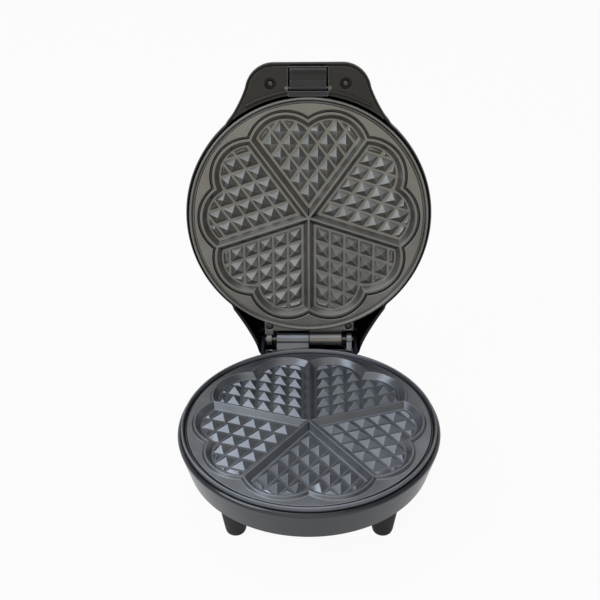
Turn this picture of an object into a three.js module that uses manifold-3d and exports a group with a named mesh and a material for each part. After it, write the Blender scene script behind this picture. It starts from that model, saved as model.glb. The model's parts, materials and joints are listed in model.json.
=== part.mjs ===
// Countertop waffle maker with a hinged lid, shown open.
// Each of its two round plates bakes five hearts.
//
// Millimetres, +Z up. X runs across, -Y is the handle side and +Y the hinge side.
// Both halves are drawn closed about the plates' centre, with the lower plate's crests at height zero.
// The lid is then turned open about the hinge pin, and the whole is set on its feet,
// with the origin under the middle of its bounding box.

import * as THREE from 'three';
import { mergeVertices } from 'three/addons/utils/BufferGeometryUtils.js';
import Module from 'manifold-3d';

const wasm = await Module();
wasm.setup();

// Plates
const plateRadius = 102.2;
const plateGap = 0.4;
const castingThickness = 2.6;
const ridgeHeight = 2.2;
const ridgeWallRun = 1.7;
const beadWidth = 1.7;
const beadWallRun = 1.4;
const beadGrooveWidth = 3.1;
const beadGrooveSlope = 0.4;
const beadGrooveDepth = 1.5;
const upperLandThickness = 3.8;
const upperGrooveStart = 1.3;
const upperGrooveWidth = 2.2;
const upperGrooveDepth = 1.9;
const upperGrooveSlope = 0.4;

// Hearts
const heartCount = 5;
const heartMargin = 10.55;
const lobeRadiusShare = 0.3388;
const crestWidth = 1.5;
const cavityDepth = 4.9;
const cavityWallRun = 3.55;

// Pyramids on the floor of each heart
const latticeStart = 9.45;
const pyramidPitch = 13.3;
const pyramidSide = 11.2;
const pyramidDrop = 0.5;
const pyramidMargin = 1.5;
const smallestPyramidShare = 0.03;

// Hinge
const hingeReach = 9.6;
const hingeRise = 3.6;
const openDegrees = 102;
const pinRadius = 2.4;
const pinClearance = 0.5;
const barrelRadius = 5.7;
const barrelLength = 28.4;
const barrelGap = 0.6;
const earWidth = 7.6;
const earGap = 3;
const lugWidth = 4.6;
const lugRadius = 5.2;
const tabGap = 2.5;
const tabDrop = 1.8;
const tabThickness = 4;
const earRootLength = 3.6;

// Shells
const shellMargin = 3;
const shellWall = 2.2;
const seatGap = 0.3;
const plateSideGap = 0.7;
const ledgeWidth = 9;
const ledgeThickness = 2.4;
const ledgePadWidth = 12;

// Base shell
const baseLipDrop = 3.9;
const baseWidestDrop = 6.5;
const baseLipWidth = 1.9;
const baseEdgeInset = 0.5;
const baseEdgeRise = 1.2;
const baseTaper = 6.7;
const stopGap = 0.6;
const cheekRadius = 11.5;
const cheekThickness = 2.6;
const cheekGap = 0.7;

// Lid shell
const lidPadDegrees = [0, 40, 140, 180, 222, 318];
const lidEdge = 2.6;
const lidEdgeInset = 1;
const lidWidestRise = 3.2;
const lidHeight = 33.5;
const domeExponent = 5;
const gripHalfWidth = 52.4;
const gripReach = 27.7;
const gripStraight = 20;
const gripCornerRadius = 24;
const gripFlareBulge = 0.2;
const gripFlareReach = 24.4;
const gripHeight = 15.5;
const gripRootHeight = 26;
const gripNoseRadius = 6;
const hoodSideGap = 1;
const hoodFlareBulge = 3.7;
const hoodFlareReach = 21.2;
const hoodReach = 17;
const hoodStraight = 6;
const hoodCornerRadius = 7;
const hoodHeight = 21;
const hoodRootHeight = 27;
const flarePower = 1.25;

// Handle liner
const linerDrop = 0.3;
const linerThickness = 2.4;
const linerSideGap = 0.6;
const linerArcGap = 4.3;
const linerBeadRadius = 1.6;
const linerBeadHalfWidth = 52.4;
const linerHalfWidth = 60.3;
const linerWeb = 0.7;
const linerScrewX = 31;
const linerScrewReach = 10.8;
const linerCupRadius = 6.3;
const linerCupBore = 4.7;
const linerCupDepth = 4.2;
const linerCupFloor = 1.8;

// Latch
const latchWidth = 31.6;
const latchSideGap = 0.9;
const latchEndGap = 0.4;
const latchPivotReach = 7.4;
const latchPivotRise = 4.2;
const latchPinRadius = 1;
const latchPinBite = 2.4;
const latchCheekReach = 3;
const latchCheekEnd = 1;
const latchBarrelRadius = 2.2;
const latchThickness = 2.6;
const latchLipWidth = 2.9;
const latchHookGap = 0.5;
const latchRecessDepth = 1.2;
const latchRecessStart = 6.2;
const latchBracketReach = 0.7;
const latchBracketRise = 1.9;
const latchBracketThickness = 2.4;

// Heating and wiring
const elementMargin = 41.2;
const elementTube = 6.6;
const elementEndX = 12;
const elementEndGap = 10;
const reflectorSheet = 1;
const reflectorDraft = 5;
const reflectorDepth = 12;
const flangeInset = 0.6;
const lidReflectorDepth = 11;
const leadHoleRadius = 3.6;
const thermostatRadius = 11;
const thermostatHeight = 9;
const thermostatY = -22;
const fuseRadius = 2.4;
const fuseLength = 18;
const fuseY = 24;
const terminalWidth = 34;
const terminalDepth = 9;
const terminalHeight = 12;
const terminalBore = 2.5;
const terminalBoreDepth = 6;
const terminalPitch = 11.3;
const glandRadius = 5;
const glandFlangeRadius = 6.6;
const glandGap = 1.1;
const glandFlangeThickness = 2;
const glandLength = 8;
const glandInside = 4.4;
const glandBore = 3.4;
const lampRadius = 3.4;
const lampX = 9;
const lampInset = 27.2;
const lampFlangeRadius = 4.6;
const lampFlangeThickness = 1;
const lampCrown = 2;
const lampLength = 6;
const lampPadRadius = 7;
const lampPadDepth = 4;

// Bottom cover, feet and screws
const standHeight = 70.9;
const coverThickness = 2.2;
const footFrontInset = 21.9;
const footFrontDegrees = 40.7;
const footRearInset = 4.7;
const footTopRadius = 14;
const footBottomRadius = 8;
const footRounding = 3.8;
const bossRadius = 4.2;
const tabScrewInset = 4.4;
const tabScrewEndInset = 4.3;
const screwShankRadius = 1.6;
const screwHeadRadius = 2.8;
const screwHeadHeight = 2;
const screwRecessRadius = 1.3;
const screwRecessDepth = 1.1;
const screwClearance = 0.3;
const screwLength = 12;
const coverScrewLength = 8;
const coverScrewInset = 8;
const coverScrewDegrees = [35, 145, 252, 288];

// Cuts run past the solid that they cut by this much, and parts that are joined overlap by as much
const overrun = 1;

// How finely round shapes are divided
const roundSegments = 40;
const hiddenSegments = 28;
const footSegments = 18;
const smallSegments = 12;
const tinySegments = 8;
const lobeSteps = 5;
const domeSteps = 5;
const limbSides = 5;
const flareSteps = 5;
const cornerSteps = 4;
const elementSteps = 22;
const elementSides = 6;
const linerSteps = 12;

// Places worked out from the sizes above
const openAngle = THREE.MathUtils.degToRad(openDegrees);
const heartHalfAngle = Math.PI / heartCount;
const lobeAngle = heartHalfAngle / 2;
const lobeRadius = lobeRadiusShare * (plateRadius - heartMargin);
const lobeCentreRadius = plateRadius - heartMargin - lobeRadius;
const cavityFloorInset = crestWidth / 2 + cavityWallRun;
const plateBack = -cavityDepth - castingThickness;
const hingeY = plateRadius + hingeReach;
const upperHingeZ = plateGap - hingeRise;
const tabEnd = hingeY - barrelRadius - tabGap;
const hingeHalfWidth = barrelGap / 2 + barrelLength + earGap + earWidth;
const neckHalfWidth = hingeHalfWidth + cheekGap + cheekThickness;
const shellRadius = plateRadius + shellMargin;
const shellOpening = plateRadius + plateSideGap;
const ledgeTop = plateBack - 2 * seatGap - reflectorSheet;
const ledgeInner = shellOpening - ledgeWidth;
const baseFootRadius = shellRadius - baseTaper;
const coverScrewRadius = baseFootRadius - coverScrewInset;
const reflectorWall = coverScrewRadius - bossRadius - seatGap;
const elementRadius = plateRadius - elementMargin;
const elementEnd = reflectorWall - elementEndGap;
const gripFront = plateRadius + gripReach;
const gripFlareY = shellRadius - gripFlareReach;
const gripFlareHalfWidth = Math.sqrt(shellRadius ** 2 - gripFlareY ** 2) + gripFlareBulge;
const hoodBack = hingeY + hoodReach;
const hoodHalfWidth = neckHalfWidth + hoodSideGap + shellWall;
const hoodFlareY = shellRadius - hoodFlareReach;
const hoodFlareHalfWidth = Math.sqrt(shellRadius ** 2 - hoodFlareY ** 2) + hoodFlareBulge;
const stopReach = hoodReach * Math.cos(openAngle) - (hingeRise - lidEdge) * Math.sin(openAngle);
const neckBack = hingeY + stopReach - stopGap;
const hoodLow = hingeRise - hoodReach * Math.sin(openAngle)
  + (hoodHeight - hoodCornerRadius - hingeRise) * Math.cos(openAngle);
const glandZ = hoodLow - glandGap - glandFlangeRadius;
const coverTop = glandZ - glandFlangeRadius;
const baseDepth = coverThickness - coverTop;
const footFrontReach = baseFootRadius - footFrontInset;
const footRearX = neckHalfWidth - footTopRadius;
const footRearY = neckBack - footTopRadius - footRearInset;
const tabScrewX = hingeHalfWidth - tabScrewInset;
const tabScrewY = tabEnd - tabScrewEndInset;
const lampReach = shellRadius - lampInset;
const latchPivotY = -plateRadius - latchPivotReach;
const linerScrewY = -plateRadius - linerScrewReach;
const linerFace = lidEdge + linerDrop;
const linerFront = gripFront - shellWall - linerSideGap;
const linerArc = plateRadius + linerArcGap;
const latchLength = linerFront - linerWeb - latchEndGap + latchPivotY;

// Materials
const material = (color, roughness, metalness) => new THREE.MeshStandardMaterial({ color, roughness, metalness });
const coating = material(0x63666b, 0.4, 0.5);
const gloss = material(0x17181a, 0.15, 0);
const matte = material(0x3b3936, 0.6, 0);
const rubbery = material(0x3d3d3f, 0.7, 0);
const steel = material(0x9a9b9d, 0.35, 1);
const aluminium = material(0xb9bbbd, 0.4, 1);
const ceramic = material(0xe6e0d4, 0.6, 0);
const redLens = material(0xa01c18, 0.2, 0);
const greenLens = material(0x1f7a36, 0.2, 0);

// Geometry to solid and back
function solidOf(geometry) {
  const bare = geometry.index ? geometry.toNonIndexed() : geometry.clone();
  bare.deleteAttribute('normal');
  bare.deleteAttribute('uv');
  const merged = mergeVertices(bare, 1e-4);
  const triangles = [];
  for (let i = 0; i < merged.index.count; i += 3) {
    const corner = [merged.index.getX(i), merged.index.getX(i + 1), merged.index.getX(i + 2)];
    if (new Set(corner).size === 3) triangles.push(...corner);
  }
  return new wasm.Manifold(new wasm.Mesh({
    numProp: 3,
    vertProperties: new Float32Array(merged.attributes.position.array),
    triVerts: new Uint32Array(triangles),
  }));
}

function geometryOf(solid) {
  const mesh = solid.getMesh();
  const geometry = new THREE.BufferGeometry();
  const places = new Float32Array(mesh.numVert * 3);
  for (let i = 0; i < mesh.numVert; i += 1) {
    for (let k = 0; k < 3; k += 1) places[3 * i + k] = mesh.vertProperties[mesh.numProp * i + k];
  }
  geometry.setAttribute('position', new THREE.BufferAttribute(places, 3));
  geometry.setIndex(new THREE.BufferAttribute(new Uint32Array(mesh.triVerts), 1));
  return geometry;
}

const joined = (...solids) => solids.reduce((whole, next) => whole.add(next));
const cut = (solid, ...tools) => tools.reduce((rest, tool) => rest.subtract(tool), solid);

// Basic solids
function box(x0, x1, y0, y1, z0, z1) {
  const geometry = new THREE.BoxGeometry(x1 - x0, y1 - y0, z1 - z0);
  return solidOf(geometry.translate((x0 + x1) / 2, (y0 + y1) / 2, (z0 + z1) / 2));
}

function turned(profile, segments = roundSegments) {
  const points = profile.map(([radius, height]) => new THREE.Vector2(radius, height));
  return solidOf(new THREE.LatheGeometry(points, segments).rotateX(Math.PI / 2));
}

function rod(radius, z0, z1, segments = smallSegments) {
  return turned([[0, z0], [radius, z0], [radius, z1], [0, z1]], segments);
}

const placed = (solid, x, y, z = 0) => solid.translate([x, y, z]);

// A rod lying across the machine, from x0 to x1
function crossRod(radius, x0, x1, y, z, segments = smallSegments) {
  const geometry = new THREE.CylinderGeometry(radius, radius, x1 - x0, segments).rotateZ(Math.PI / 2);
  return solidOf(geometry.translate((x0 + x1) / 2, y, z));
}

// An outline in the YZ plane, drawn out across the machine from x0 to x1
function crossBar(outline, x0, x1) {
  const shape = new THREE.Shape(outline.map(([y, z]) => new THREE.Vector2(y, z)));
  const geometry = new THREE.ExtrudeGeometry(shape, { depth: x1 - x0, bevelEnabled: false });
  geometry.applyMatrix4(new THREE.Matrix4().makeBasis(
    new THREE.Vector3(0, 1, 0), new THREE.Vector3(0, 0, 1), new THREE.Vector3(1, 0, 0)));
  return solidOf(geometry.translate(x0, 0, 0));
}

function tubeAlong(curve, radius, steps, sides) {
  const section = new THREE.Shape();
  section.absarc(0, 0, radius, 0, 2 * Math.PI);
  return solidOf(new THREE.ExtrudeGeometry(section, {
    steps, extrudePath: curve, bevelEnabled: false, curveSegments: sides / 2,
  }));
}

// A solid through rings that have equally many points; flat names the two axes of the end caps
function lofted(rings, flat) {
  const count = rings[0].length;
  const places = rings.flat().flatMap((point) => point.toArray());
  const triangles = [];
  for (let i = 0; i + 1 < rings.length; i += 1) {
    for (let k = 0; k < count; k += 1) {
      const a = i * count + k;
      const b = i * count + ((k + 1) % count);
      triangles.push(a, b, b + count, a, b + count, a + count);
    }
  }
  const cap = (ring) => {
    const outline = ring.map((point) => new THREE.Vector2(point[flat[0]], point[flat[1]]));
    return THREE.ShapeUtils.triangulateShape(outline, []);
  };
  const last = (rings.length - 1) * count;
  for (const [a, b, c] of cap(rings[0])) triangles.push(c, b, a);
  for (const [a, b, c] of cap(rings.at(-1))) triangles.push(last + a, last + b, last + c);
  const geometry = new THREE.BufferGeometry();
  geometry.setAttribute('position', new THREE.Float32BufferAttribute(places, 3));
  geometry.setIndex(triangles);
  return solidOf(geometry);
}

const levelRing = (outline, z) => outline.map((point) => new THREE.Vector3(point.x, point.y, z));

// Hearts
// The five hearts touch along straight dividers, and each has two round lobes.
// Every outline is the hearts' crest line, moved sideways by a given offset.
const polar = (radius, angle) => new THREE.Vector2(radius * Math.cos(angle), radius * Math.sin(angle));

function lobeArc(heartAngle, side, radius, from, to) {
  const centre = polar(lobeCentreRadius, heartAngle + side * lobeAngle);
  const start = from.clone().sub(centre).angle();
  const sweep = THREE.MathUtils.euclideanModulo(to.clone().sub(centre).angle() - start, 2 * Math.PI);
  return Array.from({ length: lobeSteps + 1 }, (_, i) => (
    polar(radius, start + sweep * (i / lobeSteps)).add(centre)));
}

// Outline round all five hearts, outset from the crest line
function clusterOutline(outset) {
  const radius = lobeRadius + outset;
  const meet = lobeCentreRadius * Math.cos(lobeAngle)
    + Math.sqrt(radius ** 2 - (lobeCentreRadius * Math.sin(lobeAngle)) ** 2);
  const points = [];
  for (let k = 0; k < 2 * heartCount; k += 1) {
    const middle = -Math.PI / 2 + (2 * k + 1) * lobeAngle;
    const arc = lobeArc(middle - lobeAngle, 1, radius,
      polar(meet, middle - lobeAngle), polar(meet, middle + lobeAngle));
    points.push(...arc.slice(0, -1));
  }
  return points;
}

// Outline of one heart that points along heartAngle, inset from the crest line
function heartOutline(inset, heartAngle) {
  const radius = lobeRadius - inset;
  const across = lobeCentreRadius * Math.sin(lobeAngle);
  const along = lobeCentreRadius * Math.cos(lobeAngle);
  const tip = polar(inset / Math.sin(heartHalfAngle), heartAngle);
  const notch = polar(along + Math.sqrt(Math.max(radius ** 2 - across ** 2, 0)), heartAngle);
  const shoulder = (side) => {
    const divider = heartAngle + side * heartHalfAngle;
    const reach = along + Math.sqrt(radius ** 2 - (across - inset) ** 2);
    return polar(reach, divider).add(polar(inset, divider - side * Math.PI / 2));
  };
  const right = lobeArc(heartAngle, -1, radius, shoulder(-1), notch);
  const left = lobeArc(heartAngle, 1, radius, notch, shoulder(1));
  return [tip, ...right, ...left.slice(1)];
}

function heartPrism(heartAngle, insetLow, zLow, insetHigh, zHigh) {
  return lofted([
    levelRing(heartOutline(insetLow, heartAngle), zLow),
    levelRing(heartOutline(insetHigh, heartAngle), zHigh),
  ], ['x', 'y']);
}

function clusterPrism(outsetLow, zLow, outsetHigh, zHigh) {
  return lofted([
    levelRing(clusterOutline(outsetLow), zLow),
    levelRing(clusterOutline(outsetHigh), zHigh),
  ], ['x', 'y']);
}

// One rhombic pyramid, carried below the floor by the overrun
function pyramid(centre, alongA, alongB) {
  const height = cavityDepth - pyramidDrop;
  const half = pyramidSide / 2 * (height + overrun) / height;
  const corner = (a, b) => centre.clone().addScaledVector(alongA, a * half).addScaledVector(alongB, b * half);
  const base = [corner(-1, -1), corner(1, -1), corner(1, 1), corner(-1, 1)];
  const places = [...levelRing(base, -cavityDepth - overrun), new THREE.Vector3(centre.x, centre.y, -pyramidDrop)];
  const geometry = new THREE.BufferGeometry();
  geometry.setAttribute('position', new THREE.Float32BufferAttribute(places.flatMap((p) => p.toArray()), 3));
  geometry.setIndex([0, 2, 1, 0, 3, 2, 0, 1, 4, 1, 2, 4, 2, 3, 4, 3, 0, 4]);
  return solidOf(geometry);
}

// The pyramids of one heart, in rows along its two straight sides and cut off round its lobes
function heartPyramids(heartAngle) {
  const alongA = polar(1, heartAngle - heartHalfAngle);
  const alongB = polar(1, heartAngle + heartHalfAngle);
  const start = polar(latticeStart, heartAngle);
  const rows = Math.ceil((plateRadius - latticeStart) / (pyramidPitch * Math.cos(heartHalfAngle)));
  const rise = cavityDepth - pyramidDrop;
  const facetRun = pyramidSide / 2 * Math.sin(2 * heartHalfAngle);
  const floorInset = cavityFloorInset + pyramidMargin;
  const limit = heartPrism(heartAngle, floorInset - overrun * facetRun / rise, -cavityDepth - overrun,
    floorInset + facetRun, -pyramidDrop);
  const pieces = [];
  for (let a = 0; a < rows; a += 1) {
    for (let b = 0; a + b < rows; b += 1) {
      const centre = start.clone()
        .addScaledVector(alongA, (a + 0.5) * pyramidPitch)
        .addScaledVector(alongB, (b + 0.5) * pyramidPitch);
      const piece = pyramid(centre, alongA, alongB);
      const kept = piece.intersect(limit);
      if (kept.volume() > smallestPyramidShare * piece.volume()) pieces.push(kept);
    }
  }
  return joined(...pieces);
}

// What is cut out of a plate for one heart: its cavity less its pyramids
// The cavity's walls run on past the crests, half-way to the crests' middle line.
function heartCut(heartAngle) {
  const slope = cavityWallRun / cavityDepth;
  const cavity = heartPrism(heartAngle, cavityFloorInset, -cavityDepth, crestWidth / 4, crestWidth / (4 * slope));
  return cut(cavity, heartPyramids(heartAngle));
}

// Plates
// A plate lies face up, with its crests and its rim's bead at height zero; the upper one is turned over afterwards.
function plateDisc(land, landBack) {
  const bead = plateRadius - beadWidth;
  const groove = bead - beadGrooveWidth;
  const floor = land - beadGrooveDepth;
  return turned([
    [0, landBack], [plateRadius, landBack], [plateRadius, 0], [bead, 0],
    [bead - beadWallRun, floor], [groove + beadGrooveSlope, floor], [groove, land], [0, land],
  ]);
}

// From the tab to a knuckle of the hinge
function knuckleWeb(hingeZ, x0, x1) {
  const low = Math.max(hingeZ - barrelRadius, -tabDrop - tabThickness);
  return crossBar([
    [tabEnd - overrun, -tabDrop - tabThickness], [hingeY, low], [hingeY, hingeZ],
    [hingeY - lugRadius, hingeZ], [tabEnd - overrun, -tabDrop],
  ], x0, x1);
}

function hingeLeaf(hingeZ) {
  const barrelEnd = barrelGap / 2 + barrelLength;
  const earStart = barrelEnd + earGap;
  const lugStart = earStart + (earWidth - lugWidth) / 2;
  const tab = box(-hingeHalfWidth, hingeHalfWidth, 0, tabEnd, -tabDrop - tabThickness, -tabDrop);
  const rim = rod(plateRadius - beadWidth / 2, plateBack, overrun, roundSegments);
  const leaf = joined(
    cut(tab, rim),
    knuckleWeb(hingeZ, -barrelEnd, -barrelGap / 2),
    crossRod(barrelRadius, -barrelEnd, -barrelGap / 2, hingeY, hingeZ),
    box(earStart, earStart + earWidth, tabEnd - overrun, tabEnd + earRootLength, -tabDrop - tabThickness, -tabDrop),
    knuckleWeb(hingeZ, lugStart, lugStart + lugWidth),
    crossRod(lugRadius, lugStart, lugStart + lugWidth, hingeY, hingeZ),
  );
  const bore = crossRod(pinRadius + pinClearance, -hingeHalfWidth - overrun, hingeHalfWidth + overrun, hingeY, hingeZ);
  const screwHoles = [-1, 1].map((side) => placed(turned([
    [0, -tabDrop - tabThickness - overrun],
    [screwShankRadius + screwClearance, -tabDrop - tabThickness - overrun],
    [screwShankRadius + screwClearance, -tabDrop - screwHeadHeight - screwClearance],
    [screwHeadRadius + screwClearance, -tabDrop - screwHeadHeight - screwClearance],
    [screwHeadRadius + screwClearance, overrun], [0, overrun],
  ], smallSegments), side * tabScrewX, tabScrewY));
  return cut(leaf, bore, ...screwHoles);
}

function hearts() {
  return Array.from({ length: heartCount }, (_, k) => heartCut(-Math.PI / 2 + 2 * k * heartHalfAngle));
}

function lowerPlate() {
  const land = -ridgeHeight;
  const ridge = clusterPrism(crestWidth / 2 + ridgeWallRun, land, crestWidth / 2, 0);
  const root = clusterPrism(crestWidth / 2 + ridgeWallRun, plateBack + overrun, crestWidth / 2 + ridgeWallRun, land);
  const disc = plateDisc(land, plateBack);
  return joined(cut(joined(disc, root, ridge), ...hearts()), hingeLeaf(hingeRise));
}

function upperPlate() {
  const disc = plateDisc(0, -upperLandThickness);
  const cups = clusterPrism(upperGrooveStart, plateBack, upperGrooveStart + upperGrooveWidth, -upperGrooveDepth);
  const slot = cut(
    clusterPrism(upperGrooveStart + upperGrooveWidth - upperGrooveSlope, -upperGrooveDepth,
      upperGrooveStart + upperGrooveWidth + upperGrooveSlope, upperGrooveDepth),
    clusterPrism(upperGrooveStart + upperGrooveSlope, -upperGrooveDepth - overrun,
      upperGrooveStart - upperGrooveSlope, upperGrooveDepth + overrun),
  );
  return joined(cut(joined(disc, cups), slot, ...hearts()), hingeLeaf(upperHingeZ));
}

// Heating
function element() {
  const back = plateBack - seatGap - elementTube / 2;
  const half = Math.asin(elementEndX / elementRadius);
  const point = ({ x, y }) => new THREE.Vector3(x, y, back);
  const arc = Array.from({ length: elementSteps + 1 }, (_, i) => (
    polar(elementRadius, Math.PI / 2 + half + (2 * Math.PI - 2 * half) * (i / elementSteps))));
  const ends = [-1, 1].map((side) => new THREE.Vector2(side * elementEndX, elementEnd));
  const path = new THREE.CatmullRomCurve3([ends[0], ...arc, ends[1]].map(point), false, 'chordal');
  return tubeAlong(path, elementTube / 2, elementSteps + 2, elementSides);
}

// A dished sheet behind the element, whose flange lies under the plate's rim
function reflector(depth) {
  const top = plateBack - seatGap;
  const flange = plateRadius - flangeInset;
  const floorRadius = reflectorWall - reflectorDraft;
  const dish = turned([
    [0, top - depth - reflectorSheet], [floorRadius, top - depth - reflectorSheet],
    [reflectorWall, top - reflectorSheet], [flange, top - reflectorSheet], [flange, top],
    [reflectorWall - reflectorSheet, top], [floorRadius - reflectorSheet, top - depth], [0, top - depth],
  ], hiddenSegments);
  const holes = [-1, 1].map((side) => placed(
    solidOf(new THREE.CylinderGeometry(leadHoleRadius, leadHoleRadius, 2 * reflectorDraft, tinySegments)),
    side * elementEndX, reflectorWall, top - elementTube / 2 - reflectorSheet));
  return cut(dish, ...holes);
}

// Limbs of the lid
// Two rounded bars leave the round lid with a flare: the handle towards -Y and the hood over the hinge towards +Y.
// A limb's distance is counted from the plate's centre, and its end is rounded from above and from the sides.
const gripShape = {
  toward: -1,
  flareStart: gripFlareY,
  flareEnd: gripFront - gripStraight,
  end: gripFront,
  halfWidth: gripHalfWidth,
  flareHalfWidth: gripFlareHalfWidth,
  height: gripHeight,
  rootHeight: gripRootHeight,
  corner: gripCornerRadius,
  nose: gripNoseRadius,
};
const hoodShape = {
  toward: 1,
  flareStart: hoodFlareY,
  flareEnd: hoodBack - hoodStraight,
  end: hoodBack,
  halfWidth: hoodHalfWidth,
  flareHalfWidth: hoodFlareHalfWidth,
  height: hoodHeight,
  rootHeight: hoodRootHeight,
  corner: hoodCornerRadius,
  nose: hoodCornerRadius,
};

// How far a rounded corner of the given radius draws in at a distance past its start
const drawIn = (radius, past) => (past > 0 ? radius - Math.sqrt(Math.max(radius ** 2 - past ** 2, 0)) : 0);

function limbHalf(shape, distance, inset) {
  const share = THREE.MathUtils.clamp((shape.flareEnd - distance) / (shape.flareEnd - shape.flareStart), 0, 1);
  const straight = shape.halfWidth + (shape.flareHalfWidth - shape.halfWidth) * share ** flarePower;
  return straight - inset - drawIn(shape.corner - inset, distance - (shape.end - shape.corner));
}

function limbTop(shape, distance, inset) {
  const share = THREE.MathUtils.clamp((shape.end - distance) / (shape.end - shape.flareStart), 0, 1);
  const straight = shape.height + (shape.rootHeight - shape.height) * share;
  return straight - inset - drawIn(shape.nose - inset, distance - (shape.end - shape.nose));
}

// Distances from inside the dome to the limb's end, closer together where the end is rounded
function limbDistances(shape, inset) {
  const start = shape.flareStart / 2;
  const turn = shape.end - shape.corner;
  const flare = Array.from({ length: flareSteps }, (_, i) => start + (turn - start) * (i / flareSteps));
  const corner = Array.from({ length: cornerSteps + 1 }, (_, i) => (
    turn + (shape.corner - inset) * Math.sin(Math.PI / 2 * (i / cornerSteps))));
  return [...flare, ...corner];
}

function limb(shape, inset) {
  const superRound = (value) => Math.sign(value) * Math.abs(value) ** (2 / domeExponent);
  const rings = limbDistances(shape, inset).map((distance) => {
    const half = limbHalf(shape, distance, inset);
    const rise = limbTop(shape, distance, inset) - lidEdge;
    const y = shape.toward * distance;
    const arch = Array.from({ length: 2 * limbSides + 1 }, (_, i) => {
      const angle = Math.PI * (i / (2 * limbSides));
      return new THREE.Vector3(half * superRound(Math.cos(angle)), y, lidEdge + rise * superRound(Math.sin(angle)));
    });
    if (inset === 0) return arch;
    return [new THREE.Vector3(half, y, lidEdge - inset), ...arch, new THREE.Vector3(-half, y, lidEdge - inset)];
  });
  return lofted(shape.toward < 0 ? rings : rings.reverse(), ['x', 'z']);
}

function dome(inset) {
  const widest = lidEdge + lidWidestRise;
  const radius = shellRadius - inset;
  const rise = lidHeight - widest - inset;
  const profile = [[0, lidEdge - inset], [radius - lidEdgeInset, lidEdge - inset]];
  for (let i = 0; i < domeSteps; i += 1) {
    const angle = Math.PI / 2 * (i / domeSteps);
    profile.push([
      radius * Math.cos(angle) ** (2 / domeExponent),
      widest + rise * Math.sin(angle) ** (2 / domeExponent),
    ]);
  }
  return turned([...profile, [0, widest + rise]]);
}

// Pads inside a shell's round wall, which carry the reflector's flange and so the plate
function ledgePads(z0, z1, degreesList) {
  return degreesList.map((degrees) => box(ledgeInner, shellRadius - shellWall / 2,
    -ledgePadWidth / 2, ledgePadWidth / 2, z0, z1).rotate([0, 0, degrees]));
}

function lidShell() {
  const outside = joined(dome(0), limb(gripShape, 0), limb(hoodShape, 0));
  const ledgeLow = plateGap - ledgeTop;
  const inside = joined(dome(shellWall), limb(gripShape, shellWall), limb(hoodShape, shellWall));
  const pads = ledgePads(ledgeLow, ledgeLow + ledgeThickness, lidPadDegrees);
  const boss = (x, y, z) => placed(rod(bossRadius, z, lidHeight), x, y);
  const tabBack = plateGap + tabDrop + tabThickness + seatGap;
  const cupBack = linerFace + linerCupDepth + linerCupFloor + seatGap;
  const sides = [-1, 1];
  const bosses = sides.flatMap((side) => [
    boss(side * tabScrewX, tabScrewY, tabBack),
    boss(side * linerScrewX, linerScrewY, cupBack),
  ]);
  const fittings = joined(...pads, ...bosses).intersect(outside);
  const lampPads = sides.map((side) => (
    placed(rod(lampPadRadius, lidHeight - lampPadDepth, lidHeight, 2 * smallSegments), side * lampX, -lampReach)));
  const shankRadius = screwShankRadius + screwClearance;
  const holes = sides.flatMap((side) => [
    placed(rod(shankRadius, lidEdge, tabBack + screwLength), side * tabScrewX, tabScrewY),
    placed(rod(shankRadius, lidEdge, cupBack + coverScrewLength), side * linerScrewX, linerScrewY),
    placed(rod(lampRadius + seatGap, 0, lidHeight + overrun), side * lampX, -lampReach),
  ]);
  const opening = rod(shellOpening, 0, ledgeLow, roundSegments);
  return cut(joined(cut(outside, inside), fittings, ...lampPads), opening, ...holes);
}

// Handle liner
// It closes the handle from below, with a beaded inner edge round the plate and a pocket for the latch.
function handleLiner() {
  const inset = shellWall + linerSideGap;
  const arcOf = (radius, halfWidth) => {
    const half = Math.asin(halfWidth / radius);
    return Array.from({ length: linerSteps + 1 }, (_, i) => (
      polar(radius, -Math.PI / 2 - half + 2 * half * (i / linerSteps))));
  };
  const inner = arcOf(linerArc, linerHalfWidth);
  const distances = limbDistances(gripShape, shellWall)
    .filter((distance) => distance > -inner[0].y && distance < linerFront);
  const side = [...distances, linerFront]
    .map((distance) => new THREE.Vector2(limbHalf(gripShape, distance, inset), -distance));
  const outline = [...inner, ...side, ...side.map(({ x, y }) => new THREE.Vector2(-x, y)).reverse()];
  const plate = solidOf(new THREE.ExtrudeGeometry(new THREE.Shape(outline),
    { depth: linerThickness, bevelEnabled: false }).translate(0, 0, linerFace));
  const beadLine = arcOf(linerArc + linerBeadRadius, linerBeadHalfWidth)
    .map(({ x, y }) => new THREE.Vector3(x, y, linerFace));
  const bead = tubeAlong(new THREE.CatmullRomCurve3(beadLine), linerBeadRadius, linerSteps, tinySegments);
  const sides = [-1, 1];
  const cups = sides.map((s) => placed(
    rod(linerCupRadius, linerFace + overrun, linerFace + linerCupDepth + linerCupFloor), s * linerScrewX, linerScrewY));
  const pocketHalf = latchWidth / 2 + latchSideGap;
  const cheeks = sides.map((s) => {
    const [x0, x1] = [s * pocketHalf, s * (pocketHalf + latchPinBite + latchCheekEnd)].sort((a, b) => a - b);
    return box(x0, x1, latchPivotY - latchCheekReach, latchPivotY + latchCheekReach,
      linerFace, latchPivotRise + latchCheekReach);
  });
  const pocket = box(-pocketHalf, pocketHalf, linerWeb - linerFront, -plateRadius,
    -lidHeight, lidHeight);
  const holes = sides.flatMap((s) => [
    placed(rod(linerCupBore, linerFace - overrun, linerFace + linerCupDepth), s * linerScrewX, linerScrewY),
    placed(rod(screwShankRadius + screwClearance, 0, lidHeight), s * linerScrewX, linerScrewY),
  ]);
  const pinHalf = pocketHalf + latchPinBite;
  const pinBore = crossRod(latchPinRadius + seatGap, -pinHalf, pinHalf, latchPivotY, latchPivotRise, tinySegments);
  return cut(joined(plate, bead, ...cups, ...cheeks), pocket, ...holes, pinBore);
}

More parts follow.
